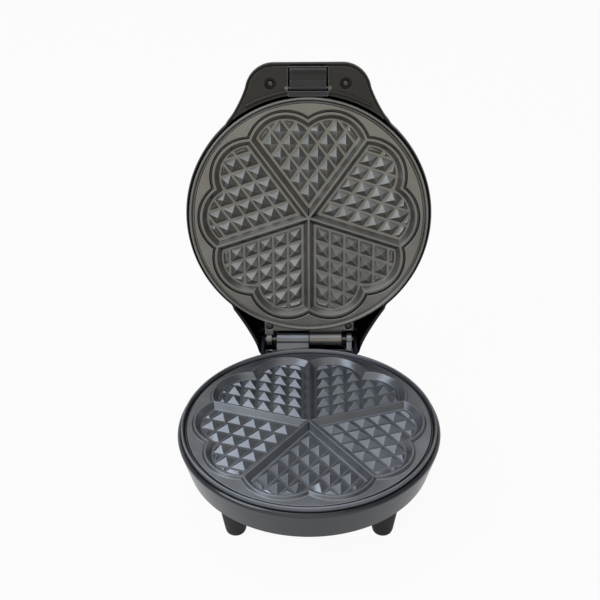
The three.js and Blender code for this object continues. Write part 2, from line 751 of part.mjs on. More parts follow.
// Latch
// The arm lies in the handle's pocket and swings down about its pin, to hook its lip under the base's widest line.
function latchArm() {
  const half = latchWidth / 2;
  const face = -latchThickness / 2;
  const back = latchThickness / 2;
  const hook = -latchPivotY - (shellRadius - latchHookGap);
  const arm = crossBar([
    [0, back], [-latchLength, back], [-latchLength, -hook + latchThickness / 2],
    [-latchLength + latchLipWidth / 3, -hook], [-latchLength + latchLipWidth, -hook],
    [-latchLength + latchLipWidth, face + latchRecessDepth], [-latchRecessStart, face + latchRecessDepth],
    [-latchRecessStart, face], [0, face],
  ], -half, half);
  const whole = joined(arm, crossRod(latchBarrelRadius, -half, half, 0, 0, tinySegments));
  return cut(whole, crossRod(latchPinRadius + seatGap, -half - overrun, half + overrun, 0, 0, tinySegments));
}

// The bracket closes the pocket's inner end and bears on the liner's edge at both sides
function latchBracket() {
  const half = latchWidth / 2 + latchSideGap - seatGap;
  const inner = -plateRadius - latchBracketReach;
  const outer = latchPivotY + latchBarrelRadius + seatGap;
  return box(-half, half, outer, inner, latchBracketRise, latchBracketRise + latchBracketThickness);
}

function latchPin() {
  const half = latchWidth / 2 + latchSideGap + latchPinBite - seatGap;
  return crossRod(latchPinRadius, -half, half, latchPivotY, latchPivotRise, tinySegments);
}

// Base
function baseProfile(inset) {
  const bottom = inset > 0 ? -baseDepth - overrun : -baseDepth;
  return [
    [0, bottom], [baseFootRadius - inset, bottom], [shellRadius - inset, -baseWidestDrop - inset / 2],
    [shellRadius - inset - baseEdgeInset, -baseWidestDrop + baseEdgeRise - inset],
    [shellRadius - inset - baseLipWidth, -baseLipDrop - inset],
  ];
}

function neckBox(inset, top) {
  return box(inset - neckHalfWidth, neckHalfWidth - inset, 0, neckBack - inset,
    inset > 0 ? -baseDepth - overrun : -baseDepth, top);
}

function baseShell() {
  const lipTop = -baseLipDrop;
  const outside = joined(turned([...baseProfile(0), [0, lipTop]]), neckBox(0, lipTop));
  const inside = joined(
    turned([...baseProfile(shellWall), [0, lipTop - shellWall]]),
    neckBox(shellWall, lipTop - shellWall),
  );
  const pads = ledgePads(ledgeTop - ledgeThickness, ledgeTop, coverScrewDegrees);
  const tabSeat = -tabDrop - tabThickness - seatGap;
  const rib = shellWall / 2;
  const bosses = [-1, 1].flatMap((side) => [
    placed(rod(bossRadius, coverTop + seatGap, tabSeat), side * tabScrewX, tabScrewY),
    box(side * tabScrewX - rib, side * tabScrewX + rib, tabScrewY, neckBack - rib, coverTop + seatGap, tabSeat),
  ]);
  const coverBosses = coverScrewDegrees.map((degrees) => {
    const { x, y } = polar(coverScrewRadius, THREE.MathUtils.degToRad(degrees));
    return placed(rod(bossRadius, coverTop + seatGap, ledgeTop - ledgeThickness / 2), x, y);
  });
  const cheeks = [-1, 1].map((side) => {
    const [x0, x1] = [side * neckHalfWidth, side * (neckHalfWidth - cheekThickness)].sort((a, b) => a - b);
    return joined(
      crossRod(cheekRadius, x0, x1, hingeY, hingeRise, 2 * smallSegments),
      box(x0, x1, neckBack - cheekRadius, hingeY, hingeRise - cheekRadius, 0),
    ).intersect(box(x0, x1, 0, hingeY + cheekRadius, -baseDepth, 0));
  });
  const fittings = joined(...pads, ...bosses, ...coverBosses).intersect(outside);
  const tabSlot = box(-hingeHalfWidth - seatGap, hingeHalfWidth + seatGap, plateRadius - ledgeWidth, hingeY,
    tabSeat, overrun);
  const shankRadius = screwShankRadius + screwClearance;
  const holes = [
    ...[-1, 1].map((side) => placed(rod(shankRadius, tabSeat - screwLength, 0), side * tabScrewX, tabScrewY)),
    ...coverScrewDegrees.map((degrees) => {
      const { x, y } = polar(coverScrewRadius, THREE.MathUtils.degToRad(degrees));
      return placed(rod(shankRadius, -baseDepth, coverTop + coverScrewLength), x, y);
    }),
    placed(solidOf(new THREE.CylinderGeometry(glandRadius + seatGap, glandRadius + seatGap,
      2 * (shellWall + overrun), smallSegments)), 0, neckBack, glandZ),
  ];
  const shell = joined(cut(outside, inside), fittings, ...cheeks);
  return cut(shell, rod(shellOpening, ledgeTop, overrun, roundSegments), tabSlot, ...holes);
}

function bottomCover() {
  const reach = baseFootRadius - shellWall - seatGap;
  const neck = neckBox(shellWall + seatGap, coverTop).intersect(rod(hingeY, -baseDepth, coverTop, roundSegments));
  const cover = joined(rod(reach, -baseDepth, coverTop, roundSegments), neck);
  const holes = coverScrewDegrees.map((degrees) => {
    const { x, y } = polar(coverScrewRadius, THREE.MathUtils.degToRad(degrees));
    return placed(rod(screwShankRadius + screwClearance, -baseDepth - overrun, coverTop + overrun), x, y);
  });
  return cut(cover, ...holes);
}

function foot() {
  const height = standHeight - baseDepth - seatGap;
  const flat = footBottomRadius - footRounding;
  const rounding = Array.from({ length: cornerSteps }, (_, i) => {
    const angle = Math.PI / 2 * (i / (cornerSteps - 1));
    return [flat + footRounding * Math.sin(angle), footRounding * (1 - Math.cos(angle))];
  });
  return turned([[0, 0], ...rounding, [footTopRadius, height], [0, height]], footSegments);
}

// Screws stand head up, with their head resting at height zero
function screw(length) {
  return turned([
    [0, -length], [screwShankRadius, -length], [screwShankRadius, 0], [screwHeadRadius, 0],
    [screwHeadRadius, screwHeadHeight], [screwRecessRadius, screwHeadHeight],
    [screwRecessRadius, screwHeadHeight - screwRecessDepth], [0, screwHeadHeight - screwRecessDepth],
  ], tinySegments);
}

// Small fittings
function cableGland() {
  const bushing = turned([
    [glandBore, -glandInside], [glandRadius, -glandInside], [glandRadius, seatGap],
    [glandFlangeRadius, seatGap], [glandFlangeRadius, seatGap + glandFlangeThickness],
    [glandRadius, seatGap + glandFlangeThickness], [(glandRadius + glandBore) / 2, glandLength],
    [glandBore, glandLength], [glandBore, -glandInside],
  ], smallSegments);
  return bushing.rotate([-90, 0, 0]);
}

function terminalBlock() {
  const block = box(-terminalWidth / 2, terminalWidth / 2, -terminalDepth / 2, terminalDepth / 2, 0, terminalHeight);
  const bores = [-1, 0, 1].map((k) => placed(
    rod(terminalBore, terminalHeight - terminalBoreDepth, terminalHeight + overrun, tinySegments), k * terminalPitch, 0));
  return cut(block, ...bores);
}

function lampLens() {
  return turned([
    [0, -lampLength], [lampRadius, -lampLength], [lampRadius, 0], [lampFlangeRadius, 0],
    [lampFlangeRadius, lampFlangeThickness], [lampRadius, (lampFlangeThickness + lampCrown) / 2], [0, lampCrown],
  ], smallSegments);
}

// Assembly
function mesh(name, solid, finish) {
  const piece = new THREE.Mesh(geometryOf(solid), finish);
  piece.name = name;
  return piece;
}

function at(piece, x, y, z) {
  piece.position.set(x, y, z);
  return piece;
}

function upsideDown(piece) {
  piece.rotation.y = Math.PI;
  return piece;
}

// The base, with the parting plane at height zero
function baseGroup() {
  const base = new THREE.Group();
  base.add(
    mesh('base_shell', baseShell(), gloss),
    mesh('bottom_cover', bottomCover(), rubbery),
    mesh('lower_plate', lowerPlate(), coating),
    mesh('lower_heating_element', element(), steel),
    mesh('lower_reflector', reflector(reflectorDepth), aluminium),
    mesh('hinge_pin', crossRod(pinRadius, -hingeHalfWidth, hingeHalfWidth, hingeY, hingeRise), steel),
  );
  const front = polar(footFrontReach, -THREE.MathUtils.degToRad(footFrontDegrees));
  const feet = {
    front_left: [-front.x, front.y],
    front_right: [front.x, front.y],
    rear_left: [-footRearX, footRearY],
    rear_right: [footRearX, footRearY],
  };
  for (const [place, [x, y]] of Object.entries(feet)) {
    base.add(at(mesh(`foot_${place}`, foot(), rubbery), x, y, -standHeight));
  }
  for (const [side, x] of [['left', -tabScrewX], ['right', tabScrewX]]) {
    base.add(at(mesh(`lower_plate_screw_${side}`, screw(screwLength), steel),
      x, tabScrewY, -tabDrop - screwHeadHeight));
  }
  coverScrewDegrees.forEach((degrees, i) => {
    const { x, y } = polar(coverScrewRadius, THREE.MathUtils.degToRad(degrees));
    const piece = mesh(`cover_screw_${i + 1}`, screw(coverScrewLength), steel);
    base.add(at(upsideDown(piece), x, y, -baseDepth - seatGap));
  });
  const under = plateBack - seatGap;
  base.add(
    at(mesh('thermostat', rod(thermostatRadius, -thermostatHeight, 0), ceramic), 0, thermostatY, under),
    mesh('thermal_fuse', crossRod(fuseRadius, -fuseLength / 2, fuseLength / 2, fuseY, under - fuseRadius), ceramic),
    at(mesh('terminal_block', terminalBlock(), ceramic), 0, reflectorWall + terminalDepth, coverTop + seatGap),
    at(mesh('cable_gland', cableGland(), rubbery), 0, neckBack, glandZ),
  );
  return base;
}

// The lid as it lies when closed
function lidGroup() {
  const lid = new THREE.Group();
  lid.add(
    mesh('lid_shell', lidShell(), gloss),
    mesh('handle_liner', handleLiner(), matte),
    mesh('latch_bracket', latchBracket(), rubbery),
    mesh('latch_pin', latchPin(), steel),
    at(mesh('latch_arm', latchArm(), rubbery), 0, latchPivotY, latchPivotRise),
  );
  for (const [side, x] of [['left', -linerScrewX], ['right', linerScrewX]]) {
    lid.add(at(upsideDown(mesh(`liner_screw_${side}`, screw(coverScrewLength), steel)),
      x, linerScrewY, linerFace + linerCupDepth - seatGap));
  }
  const lampZ = lidHeight + seatGap;
  for (const [name, x, finish] of [['power', -lampX, redLens], ['ready', lampX, greenLens]]) {
    lid.add(at(mesh(`lamp_${name}`, lampLens(), finish), x, -lampReach, lampZ));
  }
  const upper = new THREE.Group();
  upper.add(
    mesh('upper_plate', upperPlate(), coating),
    mesh('upper_heating_element', element(), steel),
    mesh('upper_reflector', reflector(lidReflectorDepth), aluminium),
  );
  for (const [side, x] of [['left', tabScrewX], ['right', -tabScrewX]]) {
    upper.add(at(mesh(`upper_plate_screw_${side}`, screw(screwLength), steel),
      x, tabScrewY, -tabDrop - screwHeadHeight));
  }
  upper.rotation.y = Math.PI;
  upper.position.z = plateGap;
  lid.add(upper);
  return lid;
}

function wholeMachine() {
  const base = baseGroup();
  const lid = lidGroup();
  const swing = new THREE.Group();
  lid.position.set(0, -hingeY, -hingeRise);
  swing.add(lid);
  swing.position.set(0, hingeY, hingeRise);
  swing.rotation.x = -openAngle;
  const machine = new THREE.Group();
  machine.add(base, swing);
  machine.updateMatrixWorld(true);
  const bounds = new THREE.Box3().setFromObject(machine, true);
  const middle = bounds.getCenter(new THREE.Vector3());
  machine.position.set(-middle.x, -middle.y, standHeight);
  return machine;
}

export default wholeMachine();
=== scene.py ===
# Heart waffle maker, shown open: the fine surface of every piece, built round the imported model.
#
# Metres, +Z up. X runs across, -Y is the handle side and +Y the hinge side.
# Every piece is drawn closed about the plates' centre, with the lower plate's crests at height zero.
# settle() then sets it on its feet, and turns what rides on the lid open about the hinge.

import json
import math

import bmesh
import bpy
from mathutils import Matrix, Vector


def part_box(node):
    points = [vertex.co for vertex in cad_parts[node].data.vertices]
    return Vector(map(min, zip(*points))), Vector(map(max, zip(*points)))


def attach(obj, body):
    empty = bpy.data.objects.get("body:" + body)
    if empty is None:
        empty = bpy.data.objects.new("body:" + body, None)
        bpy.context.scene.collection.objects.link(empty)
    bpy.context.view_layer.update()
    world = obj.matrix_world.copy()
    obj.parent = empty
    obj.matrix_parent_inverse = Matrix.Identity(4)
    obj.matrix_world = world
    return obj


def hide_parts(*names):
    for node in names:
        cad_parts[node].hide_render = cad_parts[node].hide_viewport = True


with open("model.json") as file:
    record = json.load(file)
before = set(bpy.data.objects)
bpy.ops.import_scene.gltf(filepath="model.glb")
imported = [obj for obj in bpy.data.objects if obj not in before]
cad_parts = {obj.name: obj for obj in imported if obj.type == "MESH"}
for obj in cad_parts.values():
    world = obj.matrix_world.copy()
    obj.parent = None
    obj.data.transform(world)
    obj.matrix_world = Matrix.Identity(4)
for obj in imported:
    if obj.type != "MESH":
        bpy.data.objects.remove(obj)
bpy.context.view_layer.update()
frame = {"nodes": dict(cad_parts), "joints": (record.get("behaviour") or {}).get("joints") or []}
deg = math.radians

# Plates
PLATE_RADIUS = 0.1022
PLATE_GAP = 0.0004
PLATE_BACK = -0.0075
RIDGE_HEIGHT = 0.0022
RIDGE_WALL_RUN = 0.0017
BEAD_WIDTH = 0.0017
BEAD_WALL_RUN = 0.0014
BEAD_EASE = 0.0011
BEAD_GROOVE_WIDTH = 0.0031
BEAD_GROOVE_SLOPE = 0.0004
BEAD_GROOVE_DEPTH = 0.0015
UPPER_LAND_THICKNESS = 0.0038
UPPER_GROOVE_START = 0.0013
UPPER_GROOVE_WIDTH = 0.0022
UPPER_GROOVE_DEPTH = 0.0019
UPPER_GROOVE_SLOPE = 0.0004
UPPER_RIM_WIDTH = 0.003

# Hearts
HEART_COUNT = 5
HEART_REACH = 0.09165
LOBE_RADIUS = 0.03105
LOBE_CENTRE = HEART_REACH - LOBE_RADIUS
CREST_WIDTH = 0.0015
CAVITY_DEPTH = 0.0049
CAVITY_WALL_RUN = 0.00355
HEART_ANGLE = math.pi / HEART_COUNT
LOBE_ANGLE = HEART_ANGLE / 2
LOBE_STEPS = 18
CREST_EASE = 0.00035
FLOOR_EASE = 0.0006
LAND_EASE = 0.0005

# Pyramids in the hearts
LATTICE_START = 0.00945
PYRAMID_PITCH = 0.0133
PYRAMID_SIDE = 0.0112
PYRAMID_DROP = 0.0005
PYRAMID_MARGIN = 0.0015
PYRAMID_EASE = 0.00022
PYRAMID_SINK = 0.0006
SMALLEST_PYRAMID_SHARE = 0.03
WHOLE_PYRAMID_SHARE = 0.995

# Hinge
HINGE_Y = 0.1118
HINGE_RISE = 0.0036
OPEN_DEGREES = 102
PIN_RADIUS = 0.0024
PIN_CLEARANCE = 0.0005
BARREL_RADIUS = 0.0057
BARREL_LENGTH = 0.0284
BARREL_GAP = 0.0006
EAR_WIDTH = 0.0076
EAR_GAP = 0.003
LUG_WIDTH = 0.0046
LUG_RADIUS = 0.0052
TAB_END = 0.1036
TAB_DROP = 0.0018
TAB_THICKNESS = 0.004
EAR_ROOT = 0.0036
HINGE_HALF = BARREL_GAP / 2 + BARREL_LENGTH + EAR_GAP + EAR_WIDTH
TAB_SCREW = Vector((0.0349, 0.0993))

# Base
SHELL_RADIUS = 0.1052
SHELL_WALL = 0.0022
SHELL_OPENING = 0.1029
LEDGE_TOP = -0.0091
BASE_BOTTOM = -0.0317
BASE_FOOT_RADIUS = 0.0985
BASE_WIDEST = -0.0065
BASE_LIP = -0.0039
BASE_LIP_WIDTH = 0.0019
BASE_SHOULDER_INSET = 0.0006
BASE_SHOULDER_DROP = 0.0011
NECK_SHOULDER_INSET = 0.0004
NECK_LIP_INSET = 0.0012
NECK_HALF = 0.0426
NECK_BACK = 0.1067
NECK_BLEND = 0.006
NECK_ROUNDNESS = 26
CHEEK_RADIUS = 0.0115
CHEEK_THICKNESS = 0.0026
COVER_THICKNESS = 0.0022
COVER_SCREW_RADIUS = 0.0905
COVER_SCREW_DEGREES = (35, 145, 252, 288)
COVER_EDGE_WIDTH = 0.004
COVER_SEAM_INSETS = (0.0075, 0.0070, 0.0064, 0.0058)
COVER_SEAM_DEPTH = 0.0005
VENT_X = 0.022
VENT_HALF_LENGTH = 0.012
VENT_HALF_WIDTH = 0.0014
VENT_PITCH = 0.009
VENT_EASE = 0.0012
HINGE_SLOT_DEPTH = 0.009
BOSS_RADIUS = 0.0042
BOSS_SLACK = 0.00005
GLAND_Z = -0.0229

# Lid
LID_EDGE = 0.0026
LID_EDGE_INSET = 0.001
LID_EDGE_RISE = 0.0015
LID_WIDEST = 0.0058
LID_HEIGHT = 0.0335
DOME_EXPONENT = 5
FLARE_POWER = 1.25
LID_BLEND = 0.004
CROWN_TO_HANDLE = (0.086, 0.108, 0.0215)
CROWN_TO_HOOD = (0.088, 0.112, 0.0262)
DOME_STEPS = 36
LAMP_X = 0.009
LAMP_REACH = 0.078
LAMP_PAD_RADIUS = 0.007
LAMP_PAD_DEPTH = 0.004
LAMP_RADIUS = 0.0034
LAMP_DEPTH = 0.006
LAMP_HOLE_LOW = 0.02
LENS_RADIUS = 0.0046

# Handle liner and latch
LINER_FACE = 0.0029
LINER_THICKNESS = 0.0024
LINER_INSET = 0.0028
LINER_ARC = 0.1046
LINER_HALF = 0.063
LINER_BEAD_ARC = 0.1081
LINER_BEAD_RADIUS = 0.0016
LINER_BEAD_HALF = 0.0524
LINER_FRONT = 0.1271
LINER_SCREW = Vector((0.031, -0.113))
LINER_SLICES = (0.0082, 0.0236, 0.0312, 0.0404, 0.0506)
CUP_RADIUS = 0.0063
CUP_BORE = 0.0047
CUP_DEPTH = 0.0042
CUP_FLOOR = 0.0018
POCKET_HALF = 0.0167
POCKET_CHEEK = 0.0034
POCKET_CHEEK_HALF = 0.003
LINER_WEB = 0.0007
LINER_STEPS = 14
ARC_STEPS = 48
LATCH_HALF = 0.0149
LATCH_PIVOT = Vector((0, -0.1096, 0.0042))
LATCH_LENGTH = 0.0164
LATCH_THICKNESS = 0.0026
LATCH_BARREL = 0.0022
LATCH_LIP_WIDTH = 0.0029
LATCH_RECESS = 0.0012
LATCH_RECESS_START = 0.0062
LATCH_PIN_RADIUS = 0.001

# Feet, screws and gland
STAND_HEIGHT = 0.0709
FOOT_TOP_RADIUS = 0.014
FOOT_BOTTOM_RADIUS = 0.008
SCREW_HEAD_RADIUS = 0.0028
SCREW_HEAD_HEIGHT = 0.002
SCREW_SHANK_RADIUS = 0.0016
SCREW_RECESS_HALF = 0.0016
SCREW_RECESS_WALL = 0.00042
SCREW_RECESS_DEPTH = 0.0012
LONG_SCREW = 0.012
SHORT_SCREW = 0.008
GLAND_RADIUS = 0.005
GLAND_FLANGE_RADIUS = 0.0066
GLAND_BORE = 0.0034
GLAND_FRONT = 0.008
GLAND_DEPTH = 0.0044
GLAND_FLANGE_THICKNESS = 0.002
GLAND_TIP_RADIUS = 0.0042

# Cuts run past what they cut by this much
OVERRUN = 0.001
# The gap that a piece keeps to what it sits on
SEAT_GAP = 0.0003

# Easing of edges
FINE_EASE = 0.0003
EDGE_EASE = 0.0004
SOFT_EASE = 0.0005
ROUND_EASE = 0.0006
# An easing takes at most this share of an edge
EASE_SHARE = 0.45

# Points round an outline or a turned piece
LID_POINTS = 420
BASE_POINTS = 320
COVER_POINTS = 240
OPENING_POINTS = 200
RIM_POINTS = 160
BOSS_OPENING_POINTS = 96
LARGE_POINTS = 72
ROUND_POINTS = 48
SMALL_POINTS = 40
BORE_POINTS = 32
BOSS_POINTS = 28
TINY_POINTS = 24
BEAD_POINTS = 20

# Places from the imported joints
hinge_joint = next(joint for joint in frame["joints"] if joint["name"] == "lid_hinge")
HINGE = Vector(hinge_joint["pos_m"])
CENTRE = HINGE - Vector((0, HINGE_Y, HINGE_RISE))
CLOSED = Matrix.Translation(CENTRE)
OPENED = (
    Matrix.Translation(HINGE) @ Matrix.Rotation(deg(-OPEN_DEGREES), 4, "X")
    @ Matrix.Translation(-HINGE) @ CLOSED
)
FACE_DOWN = Matrix.Translation((0, 0, PLATE_GAP)) @ Matrix.Rotation(math.pi, 4, "Y")


# Handling pieces

def pick(piece):
    bpy.ops.object.select_all(action="DESELECT")
    piece.select_set(True)
    bpy.context.view_layer.objects.active = piece


def edit(piece):
    pick(piece)
    bpy.ops.object.mode_set(mode="EDIT")
    bpy.ops.mesh.select_mode(type="VERT")
    bpy.ops.mesh.select_all(action="SELECT")


def leave():
    bpy.ops.object.mode_set(mode="OBJECT")


def apply_modifier(piece, kind, **settings):
    pick(piece)
    modifier = piece.modifiers.new(kind.lower(), kind)
    for name, value in settings.items():
        setattr(modifier, name, value)
    bpy.ops.object.modifier_apply(modifier=modifier.name)
    return piece


def combine(piece, operation, *tools):
    """Boolean of a piece with tools, which are used up"""
    for tool in tools:
        apply_modifier(piece, "BOOLEAN", operation=operation, object=tool, solver="MANIFOLD")
        bpy.data.objects.remove(tool)
    return piece


def union(piece, *tools):
    return combine(piece, "UNION", *tools)


def cut(piece, *tools):
    return combine(piece, "DIFFERENCE", *tools)


def bevelled(piece, width, segments=2, angle=40):
    return apply_modifier(piece, "BEVEL", width=width, segments=segments, limit_method="ANGLE",
                          angle_limit=deg(angle), use_clamp_overlap=True, harden_normals=False)


def gathered(name, pieces):
    """Several pieces made one, without cutting them"""
    bpy.ops.object.select_all(action="DESELECT")
    for piece in pieces:
        piece.select_set(True)
    bpy.context.view_layer.objects.active = pieces[0]
    bpy.ops.object.join()
    whole = bpy.context.object
    whole.name = name
    return whole


def copied(piece, name, matrix=None):
    """A copy with a mesh of its own, put in place in its mesh"""
    pick(piece)
    bpy.ops.object.duplicate()
    twin = bpy.context.object
    twin.name = name
    if matrix is not None:
        move(twin, matrix)
    return twin


def move(piece, matrix):
    """Turns and shifts a piece, and applies that to its mesh"""
    pick(piece)
    piece.matrix_world = matrix @ piece.matrix_world
    bpy.ops.object.transform_apply(location=True, rotation=True, scale=True)
    return piece


def shifted(piece, x=0, y=0, z=0):
    return move(piece, Matrix.Translation((x, y, z)))


def weld(piece, distance=1e-6):
    """Merges doubles, drops loose edges and turns the faces out"""
    edit(piece)
    bpy.ops.mesh.remove_doubles(threshold=distance)
    bpy.ops.mesh.delete_loose()
    bpy.ops.mesh.select_all(action="SELECT")
    bpy.ops.mesh.normals_make_consistent(inside=False)
    leave()
    return piece


def sliced(piece, places):
    """Cuts a piece's faces along planes across the machine, so that none of them is left with a hole in it"""
    edit(piece)
    for x in places:
        bpy.ops.mesh.select_all(action="SELECT")
        bpy.ops.mesh.bisect(plane_co=(x, 0, 0), plane_no=(1, 0, 0))
    leave()
    return piece


def volume(piece):
    mesh = bmesh.new()
    mesh.from_mesh(piece.data)
    amount = mesh.calc_volume()
    mesh.free()
    return amount


# Shapes

def eased(points, ease, steps=3, closed=False):
    """An outline with its corners rounded; ease is one radius, or one for each point"""
    count = len(points)
    radii = ease if isinstance(ease, (list, tuple)) else [ease] * count
    rounded = []
    for index, point in enumerate(points):
        corner = Vector(point)
        if radii[index] == 0 or (not closed and index in (0, count - 1)):
            rounded.append(corner)
            continue
        before = Vector(points[index - 1]) - corner
        after = Vector(points[(index + 1) % count]) - corner
        reach = min(radii[index], before.length * EASE_SHARE, after.length * EASE_SHARE)
        start = corner + before.normalized() * reach
        end = corner + after.normalized() * reach
        for step in range(steps + 1):
            t = step / steps
            rounded.append(start * (1 - t) ** 2 + corner * 2 * t * (1 - t) + end * t ** 2)
    return rounded


def put(piece, first, points):
    for index, point in enumerate(points):
        piece.data.vertices[first + index].co = point


def lofted(name, rings, close=False, cap_first=False, cap_last=False):
    """A skin drawn through rings: a loop of edges is extruded from each ring to the next"""
    count = len(rings[0])
    bpy.ops.object.select_all(action="DESELECT")
    bpy.ops.mesh.primitive_circle_add(vertices=count, radius=PLATE_RADIUS)
    piece = bpy.context.object
    piece.name = name
    put(piece, 0, rings[0])
    edit(piece)
    if cap_first:
        bpy.ops.mesh.edge_face_add()
        bpy.ops.mesh.select_all(action="SELECT")
        bpy.ops.mesh.select_mode(type="EDGE")
    for number, ring in enumerate(rings[1:] + (rings[:1] if close else []), 1):
        bpy.ops.mesh.extrude_edges_move() if cap_first and number == 1 else bpy.ops.mesh.extrude_region_move()
        leave()
        put(piece, number * count, ring)
        bpy.ops.object.mode_set(mode="EDIT")
    if cap_last:
        bpy.ops.mesh.edge_face_add()
    leave()
    return piece


def turned(name, profile, segments=64, x=0, y=0, z=0):
    """A solid turned about Z; the profile lists radii and heights, closed on itself or along the axis"""
    bpy.ops.object.select_all(action="DESELECT")
    bpy.ops.mesh.primitive_circle_add(vertices=len(profile), radius=PLATE_RADIUS)
    piece = bpy.context.object
    piece.name = name
    put(piece, 0, [(point[0], 0, point[1]) for point in profile])
    edit(piece)
    bpy.ops.mesh.spin(steps=segments, angle=math.tau, center=(0, 0, 0), axis=(0, 0, 1))
    leave()
    weld(piece)
    return shifted(piece, x, y, z) if (x, y, z) != (0, 0, 0) else piece


def rod(name, radius, low, high, segments=32, ease=0.0, x=0, y=0, z=0):
    profile = eased([(0, low), (radius, low), (radius, high), (0, high)], ease)
    return turned(name, profile, segments, x, y, z)


ACROSS = Matrix.Rotation(math.pi / 2, 4, "Y")


def cross_rod(name, radius, x0, x1, y, z, segments=40, ease=0.0):
    """A rod that lies across the machine"""
    piece = move(rod(name, radius, x0, x1, segments, ease), ACROSS)
    return shifted(piece, 0, y, z)


def block(name, x0, x1, y0, y1, z0, z1, ease=0.0, segments=2):
    bpy.ops.object.select_all(action="DESELECT")
    bpy.ops.mesh.primitive_cube_add(size=1, location=((x0 + x1) / 2, (y0 + y1) / 2, (z0 + z1) / 2),
                                    scale=(x1 - x0, y1 - y0, z1 - z0))
    piece = bpy.context.object
    piece.name = name
    move(piece, Matrix.Identity(4))
    return bevelled(piece, ease, segments) if ease else piece


def polar(radius, angle):
    return Vector((radius * math.cos(angle), radius * math.sin(angle)))


def level(outline, height):
    return [(point[0], point[1], height) for point in outline]


def span(side, near, far):
    """From the lower to the higher X of two distances at one side"""
    return sorted((side * near, side * far))


def closed_loft(name, rings):
    return weld(lofted(name, rings, cap_first=True, cap_last=True))


def slab(name, outline, low, high):
    """A flat outline in the XY plane, raised from low to high"""
    return closed_loft(name, [level(outline, height) for height in (low, high)])


def cross_bar(name, outline, x0, x1):
    """An outline in the YZ plane, drawn across the machine"""
    return closed_loft(name, [[(x, point[0], point[1]) for point in outline] for x in (x0, x1)])


# Hearts: every outline is the crest line of the five hearts, moved sideways

def lobe_arc(heart, side, radius, start, end):
    centre = polar(LOBE_CENTRE, heart + side * LOBE_ANGLE)
    first = math.atan2(start.y - centre.y, start.x - centre.x)
    sweep = (math.atan2(end.y - centre.y, end.x - centre.x) - first) % math.tau
    return [centre + polar(radius, first + sweep * step / LOBE_STEPS) for step in range(LOBE_STEPS + 1)]


def cluster_outline(outset):
    """The outline round all five hearts, outset from the crest line"""
    radius = LOBE_RADIUS + outset
    across = LOBE_CENTRE * math.sin(LOBE_ANGLE)
    meet = LOBE_CENTRE * math.cos(LOBE_ANGLE) + math.sqrt(radius ** 2 - across ** 2)
    points = []
    for lobe in range(2 * HEART_COUNT):
        middle = -math.pi / 2 + (2 * lobe + 1) * LOBE_ANGLE
        arc = lobe_arc(middle - LOBE_ANGLE, 1, radius,
                       polar(meet, middle - LOBE_ANGLE), polar(meet, middle + LOBE_ANGLE))
        points += arc[:-1]
    return points


def heart_outline(inset, heart):
    """The outline of one heart that points along an angle, inset from the crest line"""
    radius = LOBE_RADIUS - inset
    across = LOBE_CENTRE * math.sin(LOBE_ANGLE)
    along = LOBE_CENTRE * math.cos(LOBE_ANGLE)
    tip = polar(inset / math.sin(HEART_ANGLE), heart)
    notch = polar(along + math.sqrt(radius ** 2 - across ** 2), heart)

    def shoulder(side):
        divider = heart + side * HEART_ANGLE
        reach = along + math.sqrt(radius ** 2 - (across - inset) ** 2)
        return polar(reach, divider) + polar(inset, divider - side * math.pi / 2)

    right = lobe_arc(heart, -1, radius, shoulder(-1), notch)
    left = lobe_arc(heart, 1, radius, notch, shoulder(1))
    return [tip] + right + left[1:]


def heart_cavity(heart):
    """The skin of one heart's cavity, from the middle of its crests to its floor"""
    floor_inset = CREST_WIDTH / 2 + CAVITY_WALL_RUN
    profile = eased([
        (0, 0), (CREST_WIDTH / 2, 0),
        (floor_inset, -CAVITY_DEPTH), (floor_inset + 2 * FLOOR_EASE, -CAVITY_DEPTH),
    ], [0, CREST_EASE, FLOOR_EASE, 0])
    rings = [level(heart_outline(max(inset, 0), heart), height) for inset, height in profile]
    return lofted("heart", rings, cap_last=True)


def pyramid(centre, along_a, along_b):
    """A rhombic pyramid with eased edges, sunk a little into the floor"""
    height = CAVITY_DEPTH - PYRAMID_DROP
    half = PYRAMID_SIDE / 2 * (height + PYRAMID_SINK) / height
    bpy.ops.object.select_all(action="DESELECT")
    bpy.ops.mesh.primitive_cone_add(vertices=4, radius1=half, radius2=0, depth=height)
    piece = bpy.context.object
    piece.name = "pyramid"
    low = -CAVITY_DEPTH - PYRAMID_SINK
    corners = [(-1, -1), (-1, 1), (1, 1), (1, -1)]
    turn = 1 if along_a.x * along_b.y - along_a.y * along_b.x < 0 else -1
    base = [centre + along_a * a * half + along_b * b * half for a, b in corners[::turn]]
    put(piece, 0, level(base, low) + [(centre.x, centre.y, -PYRAMID_DROP)])
    weld(piece)
    pick(piece)
    bpy.ops.object.mode_set(mode="EDIT")
    bpy.ops.mesh.select_mode(type="EDGE")
    bpy.ops.mesh.select_all(action="DESELECT")
    leave()
    for edge in piece.data.edges:
        heights = [piece.data.vertices[index].co.z for index in edge.vertices]
        edge.select = max(heights) > low + PYRAMID_SINK
    bpy.ops.object.mode_set(mode="EDIT")
    bpy.ops.mesh.bevel(offset=PYRAMID_EASE, segments=2, affect="EDGES")
    leave()
    return piece


